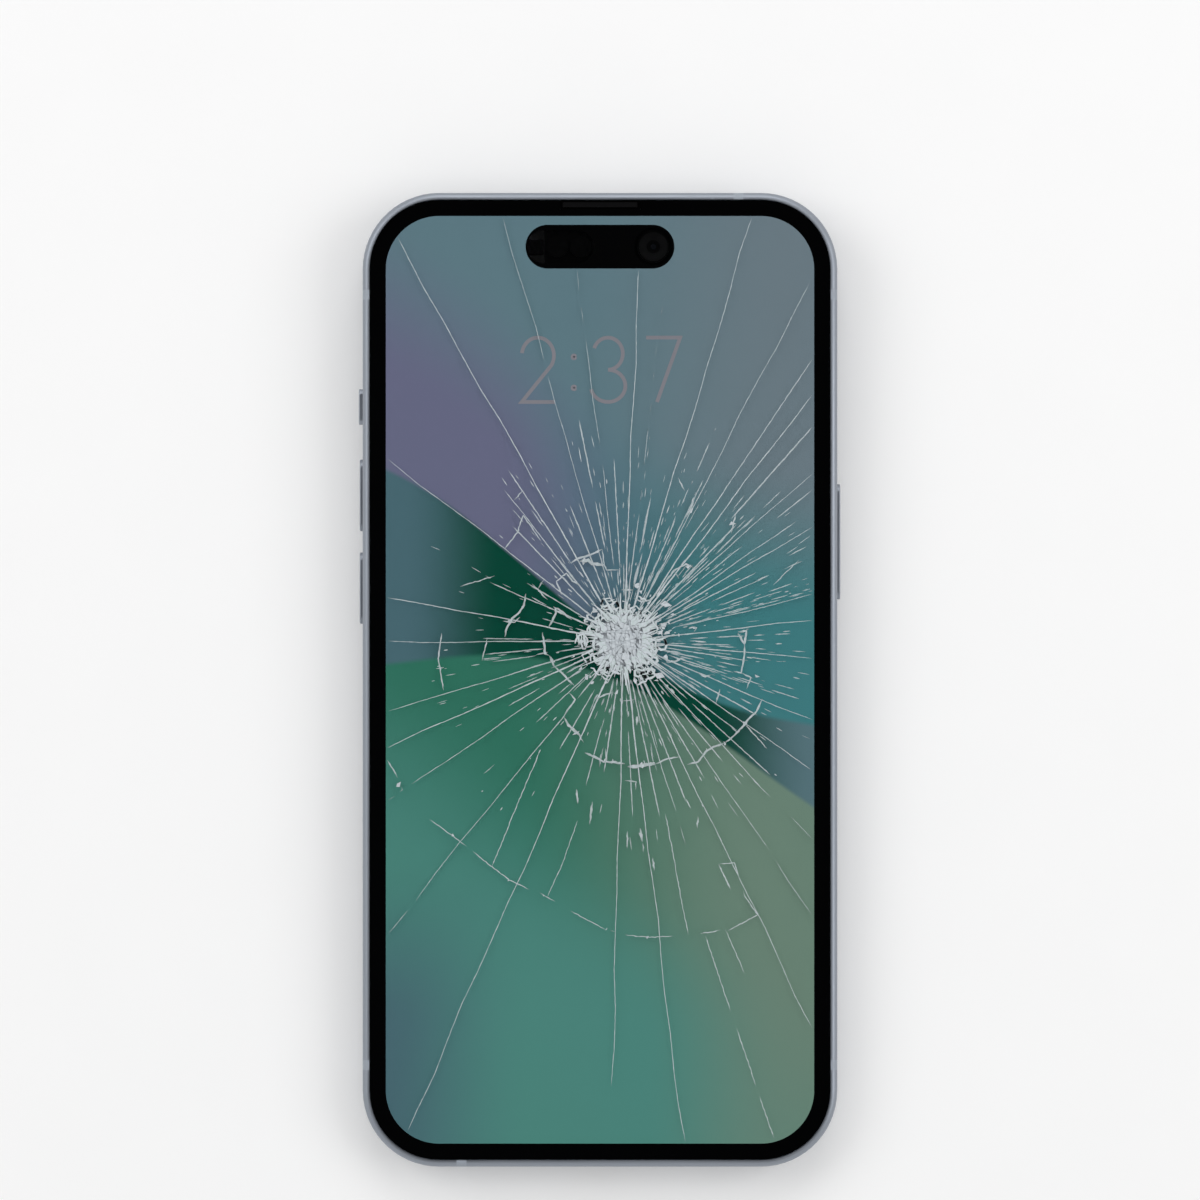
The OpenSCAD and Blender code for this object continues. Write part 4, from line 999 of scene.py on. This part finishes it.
def add_clock(screen):
    """The clock's thin strokes, in a row about the middle."""
    unit, half_row = screen.clock_height, 1.235
    left, middle = -half_row * unit, GLASS_HIGH.y - screen.clock_drop
    strokes = [
        [Vector(((p.x + at) * unit + left, (p.y - 0.5) * unit + middle)) for p in stroke]
        for at, mark in digit_strokes()
        for stroke in mark
    ]
    bm = even_strips(strokes, screen.clock_stroke, PANEL_HIGH.z + CLOCK_LIFT)
    finish = plain_finish("clock_light", screen.clock, 0.6, grain=300, spread=0.05)
    add_piece("clock_numbers", bm, finish)


def add_border(screen):
    """The black print on the back of the glass, round the lit screen and the earpiece."""
    size, trim = GLASS_HIGH - GLASS_LOW, 0.03 * MM
    sheets = [
        (size.x - 2 * inset, size.y - 2 * inset, screen.glass_corner - inset, 0)
        for inset in (trim, screen.border)
    ]
    bm = ring_sheet(*sheets, PANEL_HIGH.z + PRINT_LIFT)
    # a gap for the earpiece: half its width, and its lower side
    notch, sill = 6.1 * MM, MESH_LOW.y - 0.3 * MM
    for spot, normal in (
        ((-notch, 0, 0), (1, 0, 0)), ((notch, 0, 0), (1, 0, 0)), ((0, sill, 0), (0, 1, 0)),
    ):
        cut(bm, spot, normal)
    middles = [(f, f.calc_center_median()) for f in bm.faces]
    hole = [f for f, middle in middles if abs(middle.x) < notch and middle.y > sill]
    bmesh.ops.delete(bm, geom=hole, context="FACES")
    thicken(bm, 0.004 * MM)
    finish = Finish("black_print")
    speck = finish.noise(3000, 2)
    ink = finish.surface(
        (0.0002, 0.0002, 0.0003), (0.0007, 0.0007, 0.0008), speck, speck.rise(0.2, 0.8, 0.3, 0.4),
        specular_ior_level=0.0, coat_weight=0.3, coat_roughness=0.03,
    )
    add_piece("border_print", bm, ink)
    low, high = GLASS_HIGH.y - 1.42 * MM, GLASS_HIGH.y
    opening = (2 * notch + 0.2 * MM, high - low, 0.3 * MM, (high + low) / 2)
    mesh = MESH_HIGH - MESH_LOW
    inner = (mesh.x, mesh.y, 0.1 * MM, (MESH_HIGH.y + MESH_LOW.y) / 2)
    bm = ring_sheet(opening, inner, MESH_LOW.z + 0.04 * MM)
    thicken(bm, 0.02 * MM)
    add_piece("earpiece_surround", bm, ink)


class HANDSET_OT_glass(bpy.types.Operator):
    """Gives the front glass smears and a little dust, and lifts its back off the screen"""

    bl_idname = "handset.glass"
    bl_label = "Front glass"

    def execute(self, context):
        bm = merged_copy("cover_glass", False)
        slack, gap = 0.01 * MM, 0.03 * MM
        lower = [v for v in bm.verts if v.co.z < GLASS_LOW.z + slack]
        bmesh.ops.translate(bm, verts=lower, vec=(0, 0, gap))
        # the gloss is the coat of the panel and the print right under it: in a sheet as clear as
        # this one it would only sparkle
        finish = Finish("front_glass")
        smear = finish.noise(55, 5, 0.62, (1, 2.4, 1))
        dust = finish.noise(2600, 2).rise(0.8, 0.86) * 0.3
        material = finish.surface(
            (0.004, 0.005, 0.006), (0.2, 0.21, 0.22), dust,
            smear.rise(0.35, 0.7, 0.03, 0.11) + dust, alpha=0.05, ior=1.5, specular_ior_level=0.0,
        )
        material.surface_render_method = "BLENDED"
        add_piece("front_sheet", bm, material, smooth=30, replaces=("cover_glass",))
        return {"FINISHED"}


class HANDSET_OT_cracks(bpy.types.Operator):
    """Builds the web of cracks that runs out from the impact"""

    bl_idname = "handset.cracks"
    bl_label = "Crack web"

    def execute(self, context):
        glass = context.scene.handset_glass
        plate = Plate(context.scene.handset_screen, glass)
        chance = random.Random(glass.seed)
        main = main_lines(plate, chance, glass.crack / MM)
        cross = cross_lines(plate, chance) + fine_lines(plate, chance)
        dashes = dash_lines(plate, chance, glass.dashes) + faint_rays(plate, chance, glass.rays)
        cells = cell_lines(chance)
        if not main or not cross:
            raise RuntimeError("The crack web came out empty")
        clear = crack_finish("crack_edge", glass, 1)
        solid = crack_finish("cell_edge", glass, 4)
        for name, lines, gap, lift, finish in (
            ("broken_dashes", dashes, 0.006, 0.0001, clear),
            ("main_cracks", main, 0.02, 0.0003, clear),
            ("cross_cracks", cross, 0.05, 0.0003, clear),
            ("crushed_cells", cells, 0.09, 0.0004, solid),
        ):
            bm = ribbons(lines, GLASS_HIGH.z + gap * MM, lift * MM)
            add_piece(name, bm, finish)
        add_walls(main, glass)
        return {"FINISHED"}


def crack_finish(name, glass, strength):
    """Pale where the broken edge catches the light, with a thin dark line on each side."""
    finish = Finish(name)
    across = abs(finish.attribute("across"))
    bright = finish.attribute("tone")
    fleck = finish.noise(2600, 3)
    light = finish.blend(glass.light, tone(176, 196, 190), fleck.rise(0.35, 0.65, 0, 0.5))
    core = across.rise(0.92, 0.8)
    return finish.surface(
        glass.shade, light, (core + (strength - 1) * 0.15).least(1), fleck.rise(0.3, 0.7, 0.3, 0.6),
        alpha=((core * 0.65 + 0.25) * bright * strength).least(1), specular_ior_level=0.4,
    )


def add_walls(lines, glass):
    """The broken faces that go down through the glass, seen from the side."""
    bm = bmesh.new()
    hit = Vector((glass.hit_x, glass.hit_y, GLASS_HIGH.z - 0.02 * MM))
    for points, _, _ in lines:
        if points[0].length >= 2 * glass.pit / MM:
            chain(bm, [hit + point.to_3d() * MM for point in points])
    low = new_verts(bmesh.ops.extrude_edge_only(bm, edges=bm.edges[:]))
    slant = Vector((0.08, -0.05, -0.66)) * MM
    bmesh.ops.translate(bm, verts=low, vec=slant)
    finish = Finish("crack_wall")
    fleck = finish.noise(1800, 3)
    material = finish.surface(
        tone(120, 140, 142), tone(196, 204, 208), fleck, fleck.rise(0.3, 0.7, 0.1, 0.4),
        alpha=fleck.rise(0.3, 0.7, 0.06, 0.3),
    )
    add_piece("crack_walls", bm, material)


class HANDSET_OT_crush(bpy.types.Operator):
    """Fills the pit with crushed glass and scatters chips round it"""

    bl_idname = "handset.crush"
    bl_label = "Crushed glass"

    def execute(self, context):
        glass = context.scene.handset_glass
        chance = random.Random(glass.seed + 1)
        finish = shard_finish()
        where = Vector((glass.hit_x, glass.hit_y, GLASS_HIGH.z))
        for name, size, drop in (("crushed_glass", 0.93, -0.16), ("crushed_bed", 1.07, 0.3)):
            bm = shard_field(chance, glass.pit * size)
            bmesh.ops.translate(bm, verts=bm.verts, vec=where - Vector((0, 0, drop * MM)))
            add_piece(name, bm, finish, thick=0.07 * MM)
        add_powder(glass, where)
        bm = bmesh.new()
        shade = bm.verts.layers.float.new("tone")
        loose = list(CHIPS)
        for _ in range(SMALL_CHIPS):
            spot = polar(4.2 + 5 * chance.random() ** 2.2, chance.uniform(0, 360))
            loose.append((*spot, chance.uniform(0.2, 0.6), chance.choice((3, 3, 4, 5))))
        for x, y, size, sides in loose:
            add_chip(bm, shade, chance, where, Vector((x, y)), size, sides)
        add_piece("glass_chips", bm, finish, thick=0.06 * MM)
        return {"FINISHED"}


def add_powder(glass, where):
    """Ground glass lying on the pit's floor, under the shards, thinning out at its rim."""
    bm = bmesh.new()
    disc(bm, glass.pit * 1.04, 56, uneven=0.16, wave=0.5)
    depth = 0.44 * MM
    bmesh.ops.translate(bm, verts=bm.verts, vec=where - Vector((0, 0, depth)))
    thicken(bm, 0.05 * MM)
    finish = Finish("ground_glass")
    out = finish.away(where)
    fleck = finish.noise(2400, 5, 0.7)
    cloud = finish.noise(500, 3)
    rim = glass.pit / MM
    material = finish.surface(
        tone(140, 146, 158), tone(204, 208, 216), cloud * 0.6 + fleck * 0.5,
        fleck.rise(0.3, 0.7, 0.5, 0.9),
        alpha=(out + (cloud - 0.5) * 3).rise(rim * 1.15, rim * 0.75),
        normal=finish.bump(fleck, 0.00006),
    )
    add_piece("glass_powder", bm, material)


def shard_finish():
    finish = Finish("crushed_glass")
    bright = finish.attribute("tone")
    fleck = finish.noise(3200, 4, 0.65)
    return finish.surface(
        tone(140, 150, 156), tone(204, 211, 216), bright * 0.7 + fleck * 0.5,
        fleck.rise(0.3, 0.7, 0.12, 0.5), normal=finish.bump(fleck, 0.00001),
    )


class HANDSET_OT_back(bpy.types.Operator):
    """Rounds the back glass's camera step and finishes the rear cameras and the flash"""

    bl_idname = "handset.back"
    bl_label = "Back and cameras"

    def execute(self, context):
        add_back(context.scene.handset_body.back)
        metal = plain_finish("ring_metal", tone(168, 175, 186), 0.2, 1, 3000, 0.000002, 0.06)
        foot = RING_LOW.z + 0.2 * MM
        rounded_piece(
            "lens_rings", "camera_rings", 0.22 * MM, lambda p: p.z < foot, metal
        )
        add_lenses()
        dress(flash_finish(), "flash_light")
        return {"FINISHED"}


def add_back(rgb):
    """The back glass, blue grey under a clear gloss, with its lower edges rounded."""
    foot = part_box("back_glass")[0].z + 0.1 * MM
    finish = Finish("back_glass_blue_grey")
    cloud = finish.noise(30, 2)
    smear = finish.noise(90, 5, 0.6, (1, 2, 1))
    material = finish.surface(
        scaled(rgb, 0.93), rgb, cloud, smear.rise(0.35, 0.7, 0.3, 0.42),
        coat_weight=smear.rise(0.3, 0.75, 1.0, 0.75), coat_roughness=0.08,
    )
    rounded_piece(
        "back_cover", "back_glass", 0.45 * MM, lambda p: p.z < foot, material,
        segments=4,
    )


def add_lenses():
    """Stacked rings, glass and a small pupil in each rear camera."""
    black = plain_finish("lens_black", (0.006, 0.006, 0.007), 0.35, grain=2500)
    window = Finish("lens_window")
    tint = window.noise(70, 2)
    glass = window.surface(
        tone(10, 14, 28), tone(26, 16, 38), tint, tint.rise(0.3, 0.7, 0.02, 0.05), alpha=0.12,
        coat_weight=1.0, coat_roughness=0.02,
    )
    glass.surface_render_method = "BLENDED"
    dress(glass, "camera_windows")
    dress(black, "upper_rear_camera", "lower_rear_camera")
    steps = [
        (4.3, 0.25), (4.3, 0.05), (3.9, 0.05), (3.75, 0.32), (3.2, 0.36), (3.05, 0.7),
        (2.4, 0.76), (2.3, 1.05), (1.75, 1.1), (1.6, 1.32),
    ]
    for name in ("upper", "lower"):
        low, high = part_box(name + "_rear_camera")
        foot = Vector(((low.x + high.x) / 2, (low.y + high.y) / 2, low.z))
        add_piece(name + "_lens_steps", lathe(steps, foot, False), black, smooth=30)
        bm = dome(foot, 2.3, 2.55, 1.28, False, 48)
        pupil = pupil_finish(name, foot)
        add_piece(name + "_lens_glass", bm, pupil, smooth=30)


def pupil_finish(name, middle):
    """Coated glass, violet at the rim and black in the pupil."""
    finish = Finish(name + "_pupil")
    out = finish.away(middle)
    rim = finish.blend(tone(14, 16, 40), tone(48, 30, 74), out.rise(1.0, 1.6))
    return finish.surface(
        (0.001, 0.001, 0.002), rim, out.rise(0.5, 0.9), out.rise(0, 2, 0.03, 0.08), coat_weight=1.0,
        coat_roughness=0.02,
    )


def flash_finish():
    """Pale plastic ringed like a small lens, over a yellow lamp."""
    finish = Finish("flash_diffuser")
    low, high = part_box("flash_light")
    out = finish.away((low + high) / 2)
    rings = (out * 14).wave()
    return finish.surface(
        tone(242, 240, 232), tone(236, 214, 120), out.rise(1.5, 0.9), rings.rise(-1, 1, 0.12, 0.3),
        coat_weight=0.8, normal=finish.bump(rings, 0.00003),
    )


class HANDSET_OT_ends(bpy.types.Operator):
    """Finishes the earpiece, the front camera, the charging port and the speaker mesh"""

    bl_idname = "handset.ends"
    bl_label = "Ends and front camera"

    def execute(self, context):
        dress(mesh_finish(), "earpiece_mesh", "bottom_mesh")
        dress(plain_finish("port_steel", tone(132, 134, 138), 0.3, 1, 1800), "charging_port")
        dress(plain_finish("port_black", (0.012, 0.012, 0.013), 0.5), "port_tongue")
        add_contacts()
        add_front_lens()
        return {"FINISHED"}


def mesh_finish():
    """Black woven mesh."""
    finish = Finish("woven_mesh")
    x, y, z = finish.place()
    weave = (x * 26).wave() * ((y + z) * 26).wave()
    return finish.surface(
        BLACK, (0.01, 0.01, 0.011), weave.rise(0, 0.8), weave.rise(-1, 1, 0.7, 0.5),
        specular_ior_level=0.05, normal=finish.bump(weave, 0.00003),
    )


def dark_finish(name, level, shine):
    """Near black with faint grain and little shine."""
    finish = Finish(name)
    grain = finish.noise(2500, 2)
    return finish.surface(
        (level * 0.8,) * 3, (level, level * 1.1, level * 1.3), grain,
        grain.rise(0.2, 0.8, 0.35, 0.5), specular_ior_level=shine,
    )


def add_contacts():
    """Gilt contacts on both faces of the port's tongue."""
    low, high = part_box("port_tongue")
    width, long, thick = 0.25 * MM, 3.2 * MM, 0.06 * MM
    number, pitch, lift = 12, 0.5 * MM, 0.36 * MM
    size = Matrix.Diagonal((width, long, thick, 1))
    bm = bmesh.new()
    for k in range(number):
        for way in (-1, 1):
            level = (low.z + high.z) / 2 + way * lift
            spot = Vector(((k - (number - 1) / 2) * pitch, low.y + 2.1 * MM, level))
            bmesh.ops.create_cube(bm, size=1, matrix=Matrix.Translation(spot) @ size)
    bevel(bm, bm.edges[:], thick / 4, 1)
    gilt = plain_finish("gilt", tone(214, 178, 96), 0.28, 1, 3000)
    add_piece("port_contacts", bm, gilt)


def add_front_lens():
    """The small lens that shows in the island, with its ring."""
    black = dark_finish("sensor_black", 0.0005, 0.03)
    dress(black, "front_camera", "face_sensor", "light_sensor")
    top = Vector((ISLAND.x, ISLAND.y, CAMERA_HIGH.z))
    steps = [(2.2, 0.0), (2.2, 0.03), (1.78, 0.03), (1.7, 0.01), (1.1, 0.012), (1.0, 0.0)]
    ring = dark_finish("lens_ring_black", 0.0016, 0.08)
    add_piece("front_lens_ring", lathe(steps, top, True), ring, smooth=30)
    finish = Finish("front_lens")
    out = finish.away(top)
    glint = out.rise(0.25, 0.7) * out.rise(1.0, 0.8)
    glass = finish.surface(
        tone(4, 6, 10), tone(34, 46, 64), glint, out.rise(0, 1, 0.05, 0.1), coat_weight=1.0,
        coat_roughness=0.02,
    )
    bm = dome(top, 2.4, 0.03 - 2.4, -0.18, True, 40)
    add_piece("front_lens_glass", bm, glass, smooth=30)


class HANDSET_OT_inside(bpy.types.Operator):
    """Finishes the pieces inside the body"""

    bl_idname = "handset.inside"
    bl_label = "Inside"

    def execute(self, context):
        for look, names in (
            (("sheet_steel", tone(176, 177, 180), 0.36, 1, 1500), (
                "display_plate", "sensor_bracket", "camera_bracket", "board_shields",
                "connector_cover", "vibration_motor", "port_bracket", "left_key_bracket",
                "right_key_bracket", "card_reader", "cover_screws", "inner_screws",
            )),
            (("moulded_black", (0.012, 0.012, 0.013), 0.55), (
                "earpiece_speaker", "loudspeaker", "ring_switch_base", "board_connectors",
            )),
            (("amber_film", tone(176, 116, 44), 0.4), (
                "display_ribbon", "battery_ribbon", "port_ribbon", "left_key_switches",
                "right_key_switch",
            )),
            (("gold_plate", tone(212, 176, 96), 0.3, 1), ("rear_microphone", "bottom_microphone")),
            (("seal_foam", (0.004, 0.004, 0.005), 0.8, 0, 3000), ("display_gasket",)),
            (("battery_film", tone(34, 34, 37), 0.45), ("battery",)),
            (("pull_strip", tone(232, 232, 228), 0.6), ("battery_adhesive",)),
            (("bare_copper", tone(196, 120, 84), 0.3, 1), ("charging_coil",)),
            (("pressed_ferrite", tone(60, 60, 64), 0.7), ("coil_shield",)),
            (("nickel_plate", tone(184, 184, 188), 0.22, 1), ("magnet_ring",)),
        ):
            dress(plain_finish(*look), *names)
        dress(plain_finish("board_lacquer", tone(20, 74, 48), 0.35, coat=0.4), "logic_board")
        return {"FINISHED"}


class HANDSET_OT_stage(bpy.types.Operator):
    """Lays the floor under the handset, lights it softly and sets the camera above it"""

    bl_idname = "handset.stage"
    bl_label = "Stage"

    def execute(self, context):
        stage = context.scene.handset_stage
        add_floor(stage.floor)
        add_lights(context, stage.lamp)
        add_world(context)
        add_camera(context, stage)
        context.scene.view_settings.view_transform = "Standard"
        return {"FINISHED"}


def add_floor(rgb):
    """A wide disc that fades out far away. The handset rests on it with its lower lens ring and
    the back edge of its bottom end, whose rounding is the edge."""
    edge, radius, fade = 0.95 * MM, 3.0, (1000, 350)
    run = RING_LOW.y - (BAND_LOW.y + edge)
    rise = BAND_LOW.z + edge - RING_LOW.z
    tilt = math.atan2(rise, run) - math.asin(edge / hypot(run, rise))
    bm = bmesh.new()
    disc(bm, radius, 96)
    inset = radius * 0.4
    bmesh.ops.inset_region(bm, faces=bm.faces[:], thickness=inset, use_even_offset=True)
    turn = Matrix.Rotation(-tilt, 3, "X")
    bmesh.ops.rotate(bm, verts=bm.verts, cent=(0, 0, 0), matrix=turn)
    bmesh.ops.translate(bm, verts=bm.verts, vec=(0, RING_LOW.y, RING_LOW.z))
    face_up(bm)
    finish = Finish("pale_floor")
    material = finish.surface(
        scaled(rgb, 0.98), rgb, finish.noise(60, 3), 0.9, specular_ior_level=0.1,
        emission_color=(1, 1, 1, 1), emission_strength=0.08,
        alpha=finish.away(Vector()).rise(*fade),
    )
    floor = make("floor", bm, material)


def add_lights(context, power):
    for name, spot, size in (
        ("left_lamp", (-0.75, 0.35, 0.85), 0.7),
        ("right_lamp", (0.8, 0.1, 0.8), 0.7),
        ("far_lamp", (0.05, 0.95, 0.7), 0.8),
    ):
        data = bpy.data.lights.new(name, "AREA")
        data.energy = power
        data.size = size
        lamp = bpy.data.objects.new(name, data)
        lamp.location = spot
        lamp.rotation_euler = (-Vector(spot)).to_track_quat("-Z", "Y").to_euler()
        context.scene.collection.objects.link(lamp)


def add_world(context):
    """White to the camera and to gloss, dim straight overhead as under a dark ceiling."""
    world = Finish("studio", "World")
    ray = world.node("LightPath", output="Is Camera Ray")
    through, glossy = ray.other("Is Transmission Ray"), ray.other("Is Glossy Ray")
    seen = world.node("Math", {"operation": "ADD", "use_clamp": True}, {0: ray, 1: through})
    way = world.node("TexCoord", output="Generated")
    height = world.node("SeparateXYZ", sockets={0: way}, output="Z")
    sky = height.rise(0.72, 0.97, 0.8, 0.03).most(seen)
    soft = world.node("Background", sockets={"Color": (1, 1, 1, 1), "Strength": 0.6})
    white = world.node("Background", sockets={"Color": sky, "Strength": 1.0})
    choose = world.node("MixShader", sockets={0: seen.most(glossy), 1: soft, 2: white})
    context.scene.world = world.close(choose)


def add_camera(context, stage):
    data = bpy.data.cameras.new("camera")
    data.sensor_width = 36
    data.lens = data.sensor_width * stage.distance / stage.view_width
    data.clip_end = 20
    camera = bpy.data.objects.new("camera", data)
    camera.location = (0, stage.view_rise, GLASS_HIGH.z + stage.distance)
    context.scene.collection.objects.link(camera)
    context.scene.camera = camera


OPERATORS = (
    HANDSET_OT_band, HANDSET_OT_keys, HANDSET_OT_screen, HANDSET_OT_glass, HANDSET_OT_cracks,
    HANDSET_OT_crush, HANDSET_OT_back, HANDSET_OT_ends, HANDSET_OT_inside, HANDSET_OT_stage,
)
SETTINGS = (
    ("handset_screen", HandsetScreenSettings), ("handset_glass", HandsetGlassSettings),
    ("handset_body", HandsetBodySettings), ("handset_stage", HandsetStageSettings),
)


def spoken(key):
    """A setting's key as a label."""
    return key.replace("_", " ").capitalize()


class HANDSET_PT_panel(bpy.types.Panel):
    """Lists the handset's pieces and settings"""

    bl_label = "Shattered handset"
    bl_idname = "HANDSET_PT_panel"
    bl_space_type = "VIEW_3D"
    bl_region_type = "UI"
    bl_category = "Handset"

    def draw(self, context):
        for step in OPERATORS:
            self.layout.operator(step.bl_idname)
        for name, group in SETTINGS:
            box = self.layout.box()
            box.label(text=group.__doc__)
            for key in group.__annotations__:
                box.prop(getattr(context.scene, name), key, text=spoken(key))


def register():
    for name, group in SETTINGS:
        bpy.utils.register_class(group)
        setattr(bpy.types.Scene, name, bpy.props.PointerProperty(type=group))
    for step in (*OPERATORS, HANDSET_PT_panel):
        bpy.utils.register_class(step)


def unregister():
    for step in reversed((*OPERATORS, HANDSET_PT_panel)):
        bpy.utils.unregister_class(step)
    for name, group in reversed(SETTINGS):
        delattr(bpy.types.Scene, name)
        bpy.utils.unregister_class(group)


def main():
    register()
    for step in OPERATORS:
        area, name = step.bl_idname.split(".")
        getattr(getattr(bpy.ops, area), name)()
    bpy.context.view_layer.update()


if __name__ == "__main__":
    main()
